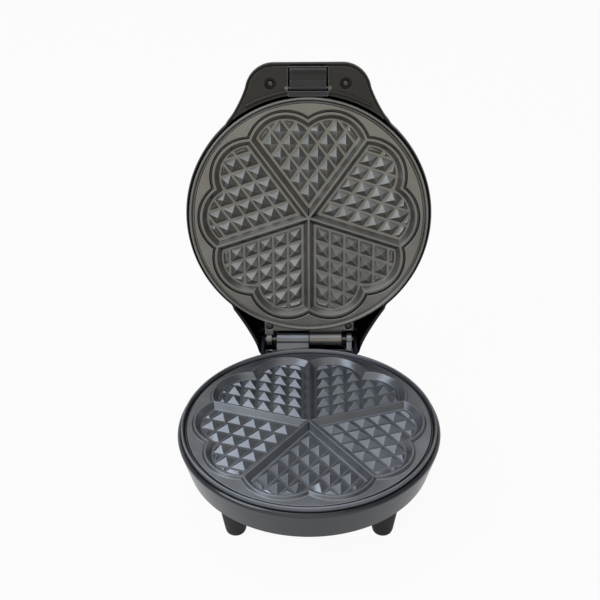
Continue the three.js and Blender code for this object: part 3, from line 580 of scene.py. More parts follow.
def heart_pyramids(heart):
    """The pyramids of one heart, in rows along its straight sides and cut off slantwise round its lobes"""
    along_a = polar(1, heart - HEART_ANGLE)
    along_b = polar(1, heart + HEART_ANGLE)
    start = polar(LATTICE_START, heart)
    rows = math.ceil((PLATE_RADIUS - LATTICE_START) / (PYRAMID_PITCH * math.cos(HEART_ANGLE)))
    rise = CAVITY_DEPTH - PYRAMID_DROP
    facet_run = PYRAMID_SIDE / 2 * math.sin(2 * HEART_ANGLE)
    floor_inset = CREST_WIDTH / 2 + CAVITY_WALL_RUN + PYRAMID_MARGIN
    sunk = floor_inset - (PYRAMID_SINK + OVERRUN) * facet_run / rise
    limit = closed_loft("limit", [
        level(heart_outline(sunk, heart), -CAVITY_DEPTH - PYRAMID_SINK - OVERRUN),
        level(heart_outline(floor_inset + facet_run, heart), -PYRAMID_DROP),
    ])
    whole = PYRAMID_SIDE ** 2 * math.sin(2 * HEART_ANGLE) * rise / 3
    kept = []
    for a in range(rows):
        for b in range(rows - a):
            centre = start + along_a * (a + 0.5) * PYRAMID_PITCH + along_b * (b + 0.5) * PYRAMID_PITCH
            if centre.length > HEART_REACH + PYRAMID_SIDE / 2:
                continue
            piece = pyramid(centre, along_a, along_b)
            before = volume(piece)
            trial = copied(piece, "trial")
            apply_modifier(trial, "BOOLEAN", operation="INTERSECT", object=limit, solver="MANIFOLD")
            after = volume(trial) if len(trial.data.polygons) else 0
            if after < SMALLEST_PYRAMID_SHARE * whole:
                bpy.data.objects.remove(trial)
                bpy.data.objects.remove(piece)
            elif after > WHOLE_PYRAMID_SHARE * before:
                bpy.data.objects.remove(trial)
                kept.append(piece)
            else:
                bpy.data.objects.remove(piece)
                kept.append(bevelled(trial, PYRAMID_EASE / 2, 1, 30))
    bpy.data.objects.remove(limit)
    return gathered("pyramids", kept)


def all_pyramids():
    first = heart_pyramids(-math.pi / 2)
    rest = [
        copied(first, "pyramids", Matrix.Rotation(2 * HEART_ANGLE * turn, 4, "Z"))
        for turn in range(1, HEART_COUNT)
    ]
    return gathered("pyramids", [first] + rest)


# Plates: each lies face up, with its crests at height zero

def cluster_rings(profile):
    return [level(cluster_outline(outset), height) for outset, height in profile]


def plate_skin(name, edge_profile, rim_profile, under_profile=()):
    """Round the hearts: rings outset from the crests, then round rings out to the rim, down and back under"""
    outer = cluster_rings(edge_profile)
    angles = [math.atan2(point[1], point[0]) for point in outer[-1]]
    rim = [[(*polar(radius, angle), height) for angle in angles] for radius, height in rim_profile]
    under = cluster_rings(under_profile)
    skin = lofted(name, outer + rim + under, cap_last=True)
    hearts = [heart_cavity(-math.pi / 2 + 2 * HEART_ANGLE * turn) for turn in range(HEART_COUNT)]
    return weld(gathered(name, [skin] + hearts), 2e-6)


def rim_profile(land, back, end):
    """From the land's edge into the round groove, over the bead, down the rim and back under to a radius"""
    bead = PLATE_RADIUS - BEAD_WIDTH
    groove = bead - BEAD_GROOVE_WIDTH
    floor = land - BEAD_GROOVE_DEPTH
    points = [
        (groove - LAND_EASE * 2, land), (groove, land), (groove + BEAD_GROOVE_SLOPE, floor),
        (bead - BEAD_WALL_RUN, floor), (bead, 0), (PLATE_RADIUS, 0), (PLATE_RADIUS, back), (end, back),
    ]
    eases = [0, FINE_EASE, FINE_EASE, SOFT_EASE, EDGE_EASE, BEAD_EASE, EDGE_EASE, 0]
    return eased(points, eases, 4)


def knuckle_web(name, hinge_z, x0, x1):
    low = max(hinge_z - BARREL_RADIUS, -TAB_DROP - TAB_THICKNESS)
    outline = [
        (TAB_END - OVERRUN, -TAB_DROP - TAB_THICKNESS), (HINGE_Y, low), (HINGE_Y, hinge_z),
        (HINGE_Y - LUG_RADIUS, hinge_z), (TAB_END - OVERRUN, -TAB_DROP),
    ]
    return bevelled(cross_bar(name, outline, x0, x1), EDGE_EASE)


def hinge_leaf(hinge_z):
    """Tab, barrel at the left, ear and lug at the right, with the pin's bore and two sunk screw holes"""
    barrel_end = BARREL_GAP / 2 + BARREL_LENGTH
    ear = barrel_end + EAR_GAP
    lug = ear + (EAR_WIDTH - LUG_WIDTH) / 2
    under = -TAB_DROP - TAB_THICKNESS
    leaf = block("leaf", -HINGE_HALF, HINGE_HALF, PLATE_RADIUS / 2, TAB_END, under, -TAB_DROP, ROUND_EASE)
    cut(leaf, rod("rim", PLATE_RADIUS - BEAD_WIDTH / 2, PLATE_BACK - OVERRUN, OVERRUN, RIM_POINTS))
    union(
        leaf,
        knuckle_web("web", hinge_z, -barrel_end, -BARREL_GAP / 2),
        cross_rod("barrel", BARREL_RADIUS, -barrel_end, -BARREL_GAP / 2, HINGE_Y, hinge_z,
                  ROUND_POINTS, SOFT_EASE),
        block("ear", ear, ear + EAR_WIDTH, TAB_END - OVERRUN, TAB_END + EAR_ROOT, under, -TAB_DROP,
              SOFT_EASE),
        knuckle_web("web", hinge_z, lug, lug + LUG_WIDTH),
        cross_rod("lug", LUG_RADIUS, lug, lug + LUG_WIDTH, HINGE_Y, hinge_z, SMALL_POINTS, SOFT_EASE),
    )
    cut(leaf, cross_rod("bore", PIN_RADIUS + PIN_CLEARANCE, -HINGE_HALF - OVERRUN, HINGE_HALF + OVERRUN,
                        HINGE_Y, hinge_z, BORE_POINTS))
    shank = SCREW_SHANK_RADIUS + SEAT_GAP
    head = SCREW_HEAD_RADIUS + SEAT_GAP
    seat = -TAB_DROP - SCREW_HEAD_HEIGHT - SEAT_GAP
    for side in (-1, 1):
        hole = [
            (0, under - OVERRUN), (shank, under - OVERRUN), (shank, seat), (head, seat),
            (head, -TAB_DROP - SEAT_GAP), (head + SEAT_GAP, -TAB_DROP), (head + SEAT_GAP, OVERRUN),
            (0, OVERRUN),
        ]
        cut(leaf, turned("hole", hole, SMALL_POINTS, side * TAB_SCREW.x, TAB_SCREW.y))
    return leaf


def lower_plate(pyramids):
    land = -RIDGE_HEIGHT
    foot = CREST_WIDTH / 2 + RIDGE_WALL_RUN
    edge = eased([(0, 0), (CREST_WIDTH / 2, 0), (foot, land), (foot + 2 * LAND_EASE, land)],
                 [0, CREST_EASE, LAND_EASE, 0])
    plate = plate_skin("lower_baking_plate", edge, rim_profile(land, PLATE_BACK, PLATE_RADIUS / 3))
    return union(plate, pyramids, hinge_leaf(HINGE_RISE))


def upper_plate(pyramids):
    start = UPPER_GROOVE_START
    end = start + UPPER_GROOVE_WIDTH
    slope = UPPER_GROOVE_SLOPE
    floor = -UPPER_GROOVE_DEPTH
    edge = eased([
        (0, 0), (start, 0), (start + slope, floor), (end - slope, floor), (end, 0), (end + 2 * LAND_EASE, 0),
    ], [0, CREST_EASE, LAND_EASE, LAND_EASE, LAND_EASE, 0])
    rim = rim_profile(0, -UPPER_LAND_THICKNESS, PLATE_RADIUS - UPPER_RIM_WIDTH)
    plate = plate_skin("upper_baking_plate", edge, rim, [(end, -UPPER_LAND_THICKNESS), (start, PLATE_BACK)])
    return union(plate, pyramids, hinge_leaf(PLATE_GAP - HINGE_RISE))


# Plan outlines: each is the distance from the plates' centre, by direction

def smooth_max(a, b, blend):
    overlap = max(blend - abs(a - b), 0)
    return max(a, b) + overlap * overlap / (4 * blend)


class Limb:
    """One of the lid's two arms, the handle and the hood: a bar that leaves the round lid with a flare"""

    def __init__(self, toward, half, flare_half, flare_start, flare_end, end, corner):
        self.toward = toward
        self.half = half
        self.flare_half = flare_half
        self.flare_start = flare_start
        self.flare_end = flare_end
        self.end = end
        self.corner = corner

    def width(self, distance, inset=0):
        share = (self.flare_end - distance) / (self.flare_end - self.flare_start)
        share = min(max(share, 0), 1)
        past = distance - (self.end - self.corner)
        corner = self.corner - inset
        drawn = corner - math.sqrt(max(corner ** 2 - past ** 2, 0)) if past > 0 else 0
        return self.half + (self.flare_half - self.half) * share ** FLARE_POWER - drawn - inset

    def reach(self, angle):
        """How far the limb goes from the centre in a direction"""
        across, along = abs(math.cos(angle)), math.sin(angle) * self.toward
        if along <= 0:
            return 0
        low, high = 0, self.end / along
        if high * across <= self.width(self.end):
            return high
        for _ in range(40):
            middle = (low + high) / 2
            if middle * across < self.width(middle * along):
                low = middle
            else:
                high = middle
        return low


GRIP = Limb(-1, 0.0524, 0.06757, 0.0808, 0.1099, 0.1299, 0.024)
HOOD = Limb(1, 0.0458, 0.06703, 0.084, 0.1228, 0.1288, 0.007)


def lid_reach(angle):
    limb = GRIP if math.sin(angle) < 0 else HOOD
    return smooth_max(SHELL_RADIUS, limb.reach(angle), LID_BLEND)


def base_reach(angle, radius, half, back):
    """The round body with the hinge's neck at its back"""
    if math.sin(angle) <= 0 or half == 0:
        return radius
    power = NECK_ROUNDNESS
    across = abs(math.cos(angle)) / half
    along = math.sin(angle) / back
    neck = (across ** power + along ** power) ** (-1 / power)
    return smooth_max(radius, neck, NECK_BLEND)


def even_directions(reach, count, fine=1440):
    """Directions whose points lie evenly along an outline"""
    angles = [math.tau * step / fine for step in range(fine + 1)]
    points = [polar(reach(angle), angle) for angle in angles]
    lengths = [0]
    for first, second in zip(points, points[1:]):
        lengths.append(lengths[-1] + (second - first).length)
    chosen, index = [], 0
    for step in range(count):
        wanted = lengths[-1] * step / count
        while lengths[index + 1] < wanted:
            index += 1
        share = (wanted - lengths[index]) / (lengths[index + 1] - lengths[index])
        chosen.append(angles[index] + share * (angles[index + 1] - angles[index]))
    return chosen


# Base

def base_shell():
    directions = even_directions(
        lambda angle: base_reach(angle, SHELL_RADIUS, NECK_HALF, NECK_BACK), BASE_POINTS)

    def ring(radius, half, back, height):
        return [(*polar(base_reach(angle, radius, half, back), angle), height) for angle in directions]

    wall = SHELL_WALL
    # Radius of the round body, inset of the neck, and height, from the bottom edge up, over and down inside
    profile = eased([
        (BASE_FOOT_RADIUS, 0, BASE_BOTTOM), (SHELL_RADIUS, 0, BASE_WIDEST),
        (SHELL_RADIUS - BASE_SHOULDER_INSET, NECK_SHOULDER_INSET, BASE_LIP - BASE_SHOULDER_DROP),
        (SHELL_RADIUS - BASE_LIP_WIDTH, NECK_LIP_INSET, BASE_LIP),
    ], [0, 0.0018, 0.0012, 0.0008], 4)
    outer = [ring(radius, NECK_HALF - inset, NECK_BACK - inset, height) for radius, inset, height in profile]
    foot = [
        ring(BASE_FOOT_RADIUS - FINE_EASE, NECK_HALF - FINE_EASE, NECK_BACK - FINE_EASE, BASE_BOTTOM),
        ring(BASE_FOOT_RADIUS, NECK_HALF, NECK_BACK, BASE_BOTTOM + FINE_EASE),
    ]
    opening = [
        ring(SHELL_OPENING + EDGE_EASE, 0, 0, BASE_LIP), ring(SHELL_OPENING, 0, 0, BASE_LIP - EDGE_EASE),
        ring(SHELL_OPENING, 0, 0, BASE_LIP - wall),
    ]
    inner = [
        ring(radius, NECK_HALF - wall, NECK_BACK - wall, height) for radius, height in (
            (SHELL_OPENING, BASE_LIP - wall), (SHELL_OPENING, LEDGE_TOP),
            (SHELL_OPENING - FINE_EASE, LEDGE_TOP), (BASE_FOOT_RADIUS - wall, BASE_BOTTOM))
    ]
    shell = weld(lofted("base_housing", foot + outer[1:] + opening + inner, close=True))
    cheeks = []
    for side in (-1, 1):
        x0, x1 = span(side, NECK_HALF, NECK_HALF - CHEEK_THICKNESS)
        cheek = union(
            cross_rod("cheek", CHEEK_RADIUS, x0, x1, HINGE_Y, HINGE_RISE, LARGE_POINTS),
            block("cheek", x0, x1, NECK_BACK - CHEEK_RADIUS, HINGE_Y, HINGE_RISE - CHEEK_RADIUS, 0),
        )
        low = BASE_LIP - OVERRUN
        cut(cheek, block("top", -NECK_BACK, NECK_BACK, 0, 2 * NECK_BACK, 0, 2 * CHEEK_RADIUS),
            block("low", -NECK_BACK, NECK_BACK, 0, NECK_BACK - SHELL_WALL, -NECK_BACK, low))
        cheeks.append(bevelled(cheek, SOFT_EASE))
    union(shell, *cheeks)
    seat = -TAB_DROP - TAB_THICKNESS - SEAT_GAP - BOSS_SLACK
    slot = HINGE_HALF + SEAT_GAP
    cut(shell, block("slot", -slot, slot, PLATE_RADIUS - HINGE_SLOT_DEPTH, HINGE_Y, seat, OVERRUN))
    cut(shell, move(rod("cord_hole", GLAND_RADIUS + SEAT_GAP, -2 * GLAND_FLANGE_THICKNESS,
                        2 * GLAND_FLANGE_THICKNESS, SMALL_POINTS),
                    Matrix.Translation((0, NECK_BACK, GLAND_Z)) @ Matrix.Rotation(math.pi / 2, 4, "X")))
    for side in (-1, 1):
        low = BASE_BOTTOM + COVER_THICKNESS + SEAT_GAP
        boss = rod("boss", BOSS_RADIUS, low, seat, BOSS_POINTS, 0, side * TAB_SCREW.x, TAB_SCREW.y)
        x0, x1 = span(side, TAB_SCREW.x, NECK_HALF - wall / 2)
        union(boss, block("rib", x0, x1, TAB_SCREW.y - wall / 2, TAB_SCREW.y + wall / 2, low, seat))
        union(shell, cut(boss, rod("opening", SHELL_OPENING, LEDGE_TOP, OVERRUN, BOSS_OPENING_POINTS)))
    return shell


def bottom_cover():
    wall = SHELL_WALL + SEAT_GAP
    radius = BASE_FOOT_RADIUS - wall

    def reach(angle, inset=0):
        return base_reach(angle, radius - inset, NECK_HALF - wall - inset, NECK_BACK - wall - inset)

    directions = even_directions(reach, COVER_POINTS)

    def ring(inset, height):
        return [(*polar(reach(angle, inset), angle), height) for angle in directions]

    low, top = BASE_BOTTOM, BASE_BOTTOM + COVER_THICKNESS
    seam = low + COVER_SEAM_DEPTH
    edge = eased([(COVER_EDGE_WIDTH, low), (0, low), (0, top), (COVER_EDGE_WIDTH, top)], ROUND_EASE)
    groove = list(zip(COVER_SEAM_INSETS, (low, seam, seam, low)))
    rings = [ring(inset, height) for inset, height in groove + edge]
    start, middle = ([[(0, 0, height)] * len(directions)] for height in (low, top))
    cover = weld(lofted("bottom_panel", start + rings + middle))
    for row in range(-3, 4):
        for side in (-1, 1):
            x, y = side * VENT_X, row * VENT_PITCH
            cut(cover, block("vent", x - VENT_HALF_LENGTH, x + VENT_HALF_LENGTH, y - VENT_HALF_WIDTH,
                             y + VENT_HALF_WIDTH, low - OVERRUN, top + OVERRUN, VENT_EASE, 3))
    for degrees in COVER_SCREW_DEGREES:
        place = polar(COVER_SCREW_RADIUS, deg(degrees))
        cut(cover, rod("hole", SCREW_SHANK_RADIUS + SEAT_GAP, low - OVERRUN, top + OVERRUN, TINY_POINTS,
                       0, *place))
    return cover


def foot():
    """A tapered foot with a round end and a fine seam under its top"""
    height = STAND_HEIGHT + BASE_BOTTOM - SEAT_GAP
    profile = [
        (0, 0), (FOOT_BOTTOM_RADIUS - 0.0006, 0), (FOOT_BOTTOM_RADIUS + 0.0003, 0.0028),
        (FOOT_TOP_RADIUS - 0.0009, height - 0.0042), (FOOT_TOP_RADIUS - 0.0013, height - 0.0038),
        (FOOT_TOP_RADIUS - 0.0003, height - 0.0032), (FOOT_TOP_RADIUS, height), (0, height),
    ]
    eases = [0, 0.0036, 0.002, FINE_EASE, FINE_EASE, EDGE_EASE, EDGE_EASE, 0]
    return turned("rubber_foot", eased(profile, eases, 5), LARGE_POINTS)


def screw(name, length):
    """Pan head at height zero, shank below, and a cross recess"""
    profile = eased([
        (0, -length), (SCREW_SHANK_RADIUS * 0.6, -length), (SCREW_SHANK_RADIUS, -length + 0.001),
        (SCREW_SHANK_RADIUS, 0), (SCREW_HEAD_RADIUS, 0), (SCREW_HEAD_RADIUS, SCREW_HEAD_HEIGHT * 0.45),
        (SCREW_HEAD_RADIUS * 0.72, SCREW_HEAD_HEIGHT), (0, SCREW_HEAD_HEIGHT),
    ], [0, 0, 0, 0, FINE_EASE, ROUND_EASE, 0.0008, 0])
    piece = turned(name, profile, SMALL_POINTS)
    low, high = SCREW_HEAD_HEIGHT - SCREW_RECESS_DEPTH, SCREW_HEAD_HEIGHT + OVERRUN
    bars = [
        block("bar", -x, x, -y, y, low, high)
        for x, y in ((SCREW_RECESS_HALF, SCREW_RECESS_WALL), (SCREW_RECESS_WALL, SCREW_RECESS_HALF))
    ]
    return cut(piece, union(*bars))


def hinge_pin():
    return cross_rod("hinge_rod", PIN_RADIUS, -HINGE_HALF, HINGE_HALF, HINGE_Y, HINGE_RISE, SMALL_POINTS,
                     ROUND_EASE)


def cable_gland():
    """A bushing whose flange lies on the neck's back wall"""
    flange = SEAT_GAP + GLAND_FLANGE_THICKNESS
    profile = eased([
        (GLAND_BORE, -GLAND_DEPTH), (GLAND_RADIUS, -GLAND_DEPTH), (GLAND_RADIUS, SEAT_GAP),
        (GLAND_FLANGE_RADIUS, SEAT_GAP), (GLAND_FLANGE_RADIUS, flange), (GLAND_RADIUS, flange),
        (GLAND_TIP_RADIUS, GLAND_FRONT), (GLAND_BORE, GLAND_FRONT),
    ], EDGE_EASE, 3, True)
    piece = turned("cord_bushing", profile, ROUND_POINTS)
    return move(piece, Matrix.Translation((0, NECK_BACK, GLAND_Z)) @ Matrix.Rotation(-math.pi / 2, 4, "X"))


# Lid

def lid_crown(y):
    """How high the lid's crown is along the machine: a dome that falls off to the handle and to the hood"""
    start, end, low = CROWN_TO_HANDLE if y < 0 else CROWN_TO_HOOD
    share = min(max((abs(y) - start) / (end - start), 0), 1)
    share = share * share * (3 - 2 * share)
    return LID_HEIGHT + (low - LID_HEIGHT) * share


def lid_shell():
    directions = even_directions(lid_reach, LID_POINTS)
    reaches = [lid_reach(angle) for angle in directions]

    def rim_ring(inset, height):
        return [(*polar(reach - inset, angle), height) for reach, angle in zip(reaches, directions)]

    def dome_ring(turn):
        """The dome's section is a rounded square, drawn by its angle from the rim to the crown"""
        across, up = math.cos(turn), math.sin(turn)
        size = (across ** DOME_EXPONENT + up ** DOME_EXPONENT) ** (-1 / DOME_EXPONENT)
        points = []
        for reach, angle in zip(reaches, directions):
            place = polar(reach * size * across, angle)
            height = LID_WIDEST + (lid_crown(place.y) - LID_WIDEST) * size * up
            points.append((*place, height))
        return points

    rings = [rim_ring(LID_EDGE_INSET, LID_EDGE), rim_ring(LID_EDGE_INSET * 0.35, LID_EDGE + LID_EDGE_RISE)]
    rings += [dome_ring(math.pi / 2 * step / DOME_STEPS) for step in range(DOME_STEPS)]
    rings.append([(0, 0, LID_HEIGHT)] * len(directions))
    shell = weld(lofted("lid_housing", rings))
    if max(polygon.normal.z for polygon in shell.data.polygons if polygon.center.z > LID_HEIGHT * 0.9) < 0:
        edit(shell)
        bpy.ops.mesh.flip_normals()
        leave()
    apply_modifier(shell, "SOLIDIFY", thickness=SHELL_WALL, offset=-1, use_even_offset=True, use_rim=True)
    cut(shell, rod("opening", SHELL_OPENING, 0, PLATE_GAP - LEDGE_TOP, OPENING_POINTS))
    bevelled(shell, EDGE_EASE, 2, 55)
    for x in (-LAMP_X, LAMP_X):
        union(shell, rod("pad", LAMP_PAD_RADIUS, LID_HEIGHT - LAMP_PAD_DEPTH, LID_HEIGHT, ROUND_POINTS,
                         ROUND_EASE, x, -LAMP_REACH))
    for x in (-LAMP_X, LAMP_X):
        cut(shell, rod("hole", LAMP_RADIUS + SEAT_GAP, LAMP_HOLE_LOW, LID_HEIGHT + OVERRUN, SMALL_POINTS,
                       0, x, -LAMP_REACH))
    return shell


def lamp():
    """A domed lens with a flange"""
    profile = [
        (0, -LAMP_DEPTH), (LAMP_RADIUS, -LAMP_DEPTH), (LAMP_RADIUS, 0), (LENS_RADIUS, 0),
        (LENS_RADIUS, 0.0008), (0.0038, 0.0011), (0.0030, 0.0015), (0.0016, 0.0018), (0, 0.00185),
    ]
    eases = [0, FINE_EASE, 0, 0.0002, EDGE_EASE, EDGE_EASE, ROUND_EASE, ROUND_EASE, 0]
    return turned("lens", eased(profile, eases, 3), ROUND_POINTS)


def liner_side(distances, inset):
    return [Vector((GRIP.width(distance, inset), -distance)) for distance in distances]


def handle_liner():
    """The dark panel that closes the handle, with two screw cups and the latch's pocket"""
    start = math.sqrt(LINER_ARC ** 2 - LINER_HALF ** 2)
    corner = GRIP.end - GRIP.corner
    radius = GRIP.corner - SHELL_WALL
    fall = [start + (corner - start) * step / LINER_STEPS for step in range(LINER_STEPS)]
    last = math.asin((LINER_FRONT - corner) / radius)
    turn = [corner + radius * math.sin(last * step / LINER_STEPS) for step in range(LINER_STEPS + 1)]
    side = liner_side([d for d in fall + turn if d > start + OVERRUN / 4], LINER_INSET)
    half_arc = math.asin(LINER_HALF / LINER_ARC)
    arc = [
        polar(LINER_ARC, -math.pi / 2 - half_arc + 2 * half_arc * step / ARC_STEPS)
        for step in range(ARC_STEPS + 1)
    ]
    outline = arc + side + [Vector((-point.x, point.y)) for point in reversed(side)]
    liner = slab("handle_panel", outline, LINER_FACE, LINER_FACE + LINER_THICKNESS)
    bevelled(liner, EDGE_EASE, 2, 50)
    sliced(liner, [side * x for side in (-1, 1) for x in LINER_SLICES])
    cups = [
        rod("cup", CUP_RADIUS, LINER_FACE + OVERRUN, LINER_FACE + CUP_DEPTH + CUP_FLOOR, ROUND_POINTS,
            EDGE_EASE, side * LINER_SCREW.x, LINER_SCREW.y) for side in (-1, 1)
    ]
    cheeks = []
    for side in (-1, 1):
        x0, x1 = span(side, POCKET_HALF, POCKET_HALF + POCKET_CHEEK)
        cheeks.append(block("cheek", x0, x1, LATCH_PIVOT.y - POCKET_CHEEK_HALF,
                            LATCH_PIVOT.y + POCKET_CHEEK_HALF, LINER_FACE + OVERRUN,
                            LATCH_PIVOT.z + POCKET_CHEEK_HALF, FINE_EASE))
    union(liner, *cups, *cheeks)
    cut(liner, block("pocket", -POCKET_HALF, POCKET_HALF, LINER_WEB - LINER_FRONT, -PLATE_RADIUS,
                     -LID_HEIGHT, LID_HEIGHT, FINE_EASE))
    lip = LINER_FACE
    bore = [
        (0, lip - OVERRUN), (CUP_BORE + SOFT_EASE, lip - OVERRUN), (CUP_BORE + SOFT_EASE, lip),
        (CUP_BORE, lip + SOFT_EASE), (CUP_BORE, lip + CUP_DEPTH), (0, lip + CUP_DEPTH),
    ]
    for x in (-LINER_SCREW.x, LINER_SCREW.x):
        cut(liner, turned("bore", bore, ROUND_POINTS, x, LINER_SCREW.y),
            rod("hole", SCREW_SHANK_RADIUS + SEAT_GAP, 0, LID_HEIGHT, BORE_POINTS, 0, x, LINER_SCREW.y))
    half = POCKET_HALF + LINER_THICKNESS
    pin_bore = LATCH_PIN_RADIUS + SEAT_GAP
    return cut(liner, cross_rod("bore", pin_bore, -half, half, LATCH_PIVOT.y, LATCH_PIVOT.z, TINY_POINTS))


def liner_bead(side):
    """Half of the rod along the liner's inner edge, from the latch's pocket outwards, with a round end"""
    radius = LINER_BEAD_ARC
    inner = -math.pi / 2 + side * math.asin((POCKET_HALF + SEAT_GAP) / radius)
    outer = -math.pi / 2 + side * math.asin(LINER_BEAD_HALF / radius)
    sections = 28
    end_steps = 6
    bead = LINER_BEAD_RADIUS
    cap = bead / radius * side
    places = [(inner + (outer - cap - inner) * step / sections, bead) for step in range(sections + 1)]
    for step in range(1, end_steps + 1):
        turn = math.pi / 2 * step / end_steps
        places.append((outer - cap + cap * math.sin(turn), max(bead * math.cos(turn), bead * 0.02)))
    turns = [math.tau * step / BEAD_POINTS for step in range(BEAD_POINTS)]
    rings = []
    for angle, size in places:
        middle, out = polar(radius, angle), polar(1, angle)
        rings.append([
            (*(middle + out * size * math.cos(turn)), LINER_FACE + size * math.sin(turn)) for turn in turns
        ])
    return closed_loft("bead", rings)


def latch_arm():
    half = LATCH_HALF
    face, back = -LATCH_THICKNESS / 2, LATCH_THICKNESS / 2
    hook = -LATCH_PIVOT.y - (SHELL_RADIUS - SOFT_EASE)
    outline = [
        (0, back), (-LATCH_LENGTH, back), (-LATCH_LENGTH, -hook + 0.0013), (-LATCH_LENGTH + 0.001, -hook),
        (-LATCH_LENGTH + LATCH_LIP_WIDTH, -hook), (-LATCH_LENGTH + LATCH_LIP_WIDTH, face + LATCH_RECESS),
        (-LATCH_RECESS_START, face + LATCH_RECESS), (-LATCH_RECESS_START, face), (0, face),
    ]
    eases = [0, SOFT_EASE, SOFT_EASE, ROUND_EASE, ROUND_EASE, SOFT_EASE, EDGE_EASE, EDGE_EASE, 0]
    arm = cross_bar("latch_clip", eased(outline, eases), -half, half)
    barrel = cross_rod("barrel", LATCH_BARREL, -half, half, 0, 0, SMALL_POINTS)
    arm = bevelled(union(arm, barrel), FINE_EASE, 2, 60)
    cut(arm, cross_rod("bore", LATCH_PIN_RADIUS + SEAT_GAP, -half - OVERRUN, half + OVERRUN, 0, 0,
                       BOSS_POINTS))
    return shifted(arm, *LATCH_PIVOT)


# Materials

COAT_ROUGHNESS = 0.1
RELIEF_DEPTH = 0.0001
AO_SAMPLES = 8
# Occlusion at which the painted edge highlight and the painted hollow shade start and at which they are full
EDGE_HIGHLIGHT_OCCLUSION = (0.86, 0.58)
HOLLOW_SHADE_OCCLUSION = (0.92, 0.5)
EDGE_WIDTH = 0.0006
HOLLOW_WIDTH = 0.003
# Colour of the painted shade in hollows
HOLLOW_SHADE = (0.012, 0.013, 0.015, 1)
EDGE_SMOOTHING = -0.12
GRAIN_SHARE = 0.5
GRAIN_CONTRAST = (0.45, 1.05)


def feed(tree, made, inputs):
    """Gives each input of a node a value, or a link from another node's output"""
    for name, value in inputs.items():
        if isinstance(value, bpy.types.NodeSocket):
            tree.links.new(value, made.inputs[name])
        else:
            made.inputs[name].default_value = value


def node(tree, kind, inputs=None, **settings):
    made = tree.nodes.new("ShaderNode" + kind)
    for name, value in settings.items():
        setattr(made, name, value)
    feed(tree, made, inputs or {})
    return made


def make_material(name, colour, roughness=0.5, metallic=0.0, coat=0.0, specular=0.5):
    material = bpy.data.materials.new(name)
    material.use_nodes = True
    shader = material.node_tree.nodes["Principled BSDF"]
    feed(material.node_tree, shader, {
        "Base Color": (*colour, 1), "Roughness": roughness, "Metallic": metallic, "Coat Weight": coat,
        "Specular IOR Level": specular,
    })
    return material, shader


def new_group(name, inputs, outputs):
    """A node group with its sockets; an output named Color is a colour, and so is an input of four numbers"""
    group = bpy.data.node_groups.new(name, "ShaderNodeTree")
    for title, value in inputs.items():
        kind = "NodeSocketColor" if isinstance(value, tuple) else "NodeSocketFloat"
        group.interface.new_socket(title, in_out="INPUT", socket_type=kind).default_value = value
    for title in outputs:
        kind = "NodeSocketColor" if title == "Color" else "NodeSocketFloat"
        group.interface.new_socket(title, in_out="OUTPUT", socket_type=kind)
    return group, group.nodes.new("NodeGroupInput").outputs, group.nodes.new("NodeGroupOutput")


def grain_group():
    """Fine grain: a shade that varies a little, a roughness that varies with it, and a height"""
    group, given, out = new_group("fine_grain", {
        "Dark": (0.1, 0.1, 0.1, 1), "Light": (0.2, 0.2, 0.2, 1), "Grain Scale": 4000.0, "Patch Scale": 60.0,
        "Smooth": 0.3, "Rough": 0.5,
    }, ("Color", "Roughness", "Height"))
    place = node(group, "TexCoord").outputs["Object"]
    grain, patch = (
        node(group, "TexNoise", {"Vector": place, "Scale": given[scale], "Detail": detail}).outputs["Fac"]
        for scale, detail in (("Grain Scale", 3), ("Patch Scale", 4))
    )
    blend = node(group, "Math", {0: grain, 1: GRAIN_SHARE, 2: patch}, operation="MULTIPLY_ADD")
    low, high = GRAIN_CONTRAST
    contrast = node(group, "MapRange", {"Value": blend.outputs[0], "From Min": low, "From Max": high})
    share = contrast.outputs["Result"]
    colour = node(group, "Mix", {"Factor": share, "A": given["Dark"], "B": given["Light"]}, data_type="RGBA")
    rough = node(group, "MapRange", {"Value": share, "To Min": given["Smooth"], "To Max": given["Rough"]})
    feed(group, out, {
        "Color": colour.outputs["Result"], "Roughness": rough.outputs["Result"], "Height": grain,
    })
    return group


def painted_light_group():
    """Painted highlights make edges lighter, and smoother too; painted shade makes hollows darker"""
    group, given, out = new_group("painted_edge_highlights_and_hollow_shade", {
        "Color": (0.2, 0.2, 0.2, 1), "Roughness": 0.4, "Painted Edge Highlight": (0.5, 0.5, 0.5, 1), "Edge Share": 0.5,
        "Edge Width": EDGE_WIDTH, "Hollow Share": 0.5, "Hollow Width": HOLLOW_WIDTH,
    }, ("Color", "Roughness"))
    masks = []
    for place, (low, high) in (("Edge", EDGE_HIGHLIGHT_OCCLUSION), ("Hollow", HOLLOW_SHADE_OCCLUSION)):
        occlusion = node(group, "AmbientOcclusion", {"Distance": given[f"{place} Width"]}, samples=AO_SAMPLES,
                         inside=place == "Edge", only_local=True)
        ramp = node(group, "MapRange", {"Value": occlusion.outputs["AO"], "From Min": low, "From Max": high},
                    interpolation_type="SMOOTHSTEP")
        mask = node(group, "Math", {0: ramp.outputs["Result"], 1: given[f"{place} Share"]},
                    operation="MULTIPLY")
        masks.append(mask.outputs[0])
    edge, hollow = masks
    hollow_shaded = node(group, "Mix", {"Factor": hollow, "A": given["Color"], "B": HOLLOW_SHADE}, data_type="RGBA")
    edge_lit = node(group, "Mix", {"Factor": edge, "A": hollow_shaded.outputs["Result"], "B": given["Painted Edge Highlight"]},
                  data_type="RGBA")
    smoother = node(group, "Math", {0: edge, 1: EDGE_SMOOTHING, 2: given["Roughness"]},
                    operation="MULTIPLY_ADD")
    feed(group, out, {"Color": edge_lit.outputs["Result"], "Roughness": smoother.outputs[0]})
    return group


GRAIN = grain_group()
PAINTED_LIGHT = painted_light_group()


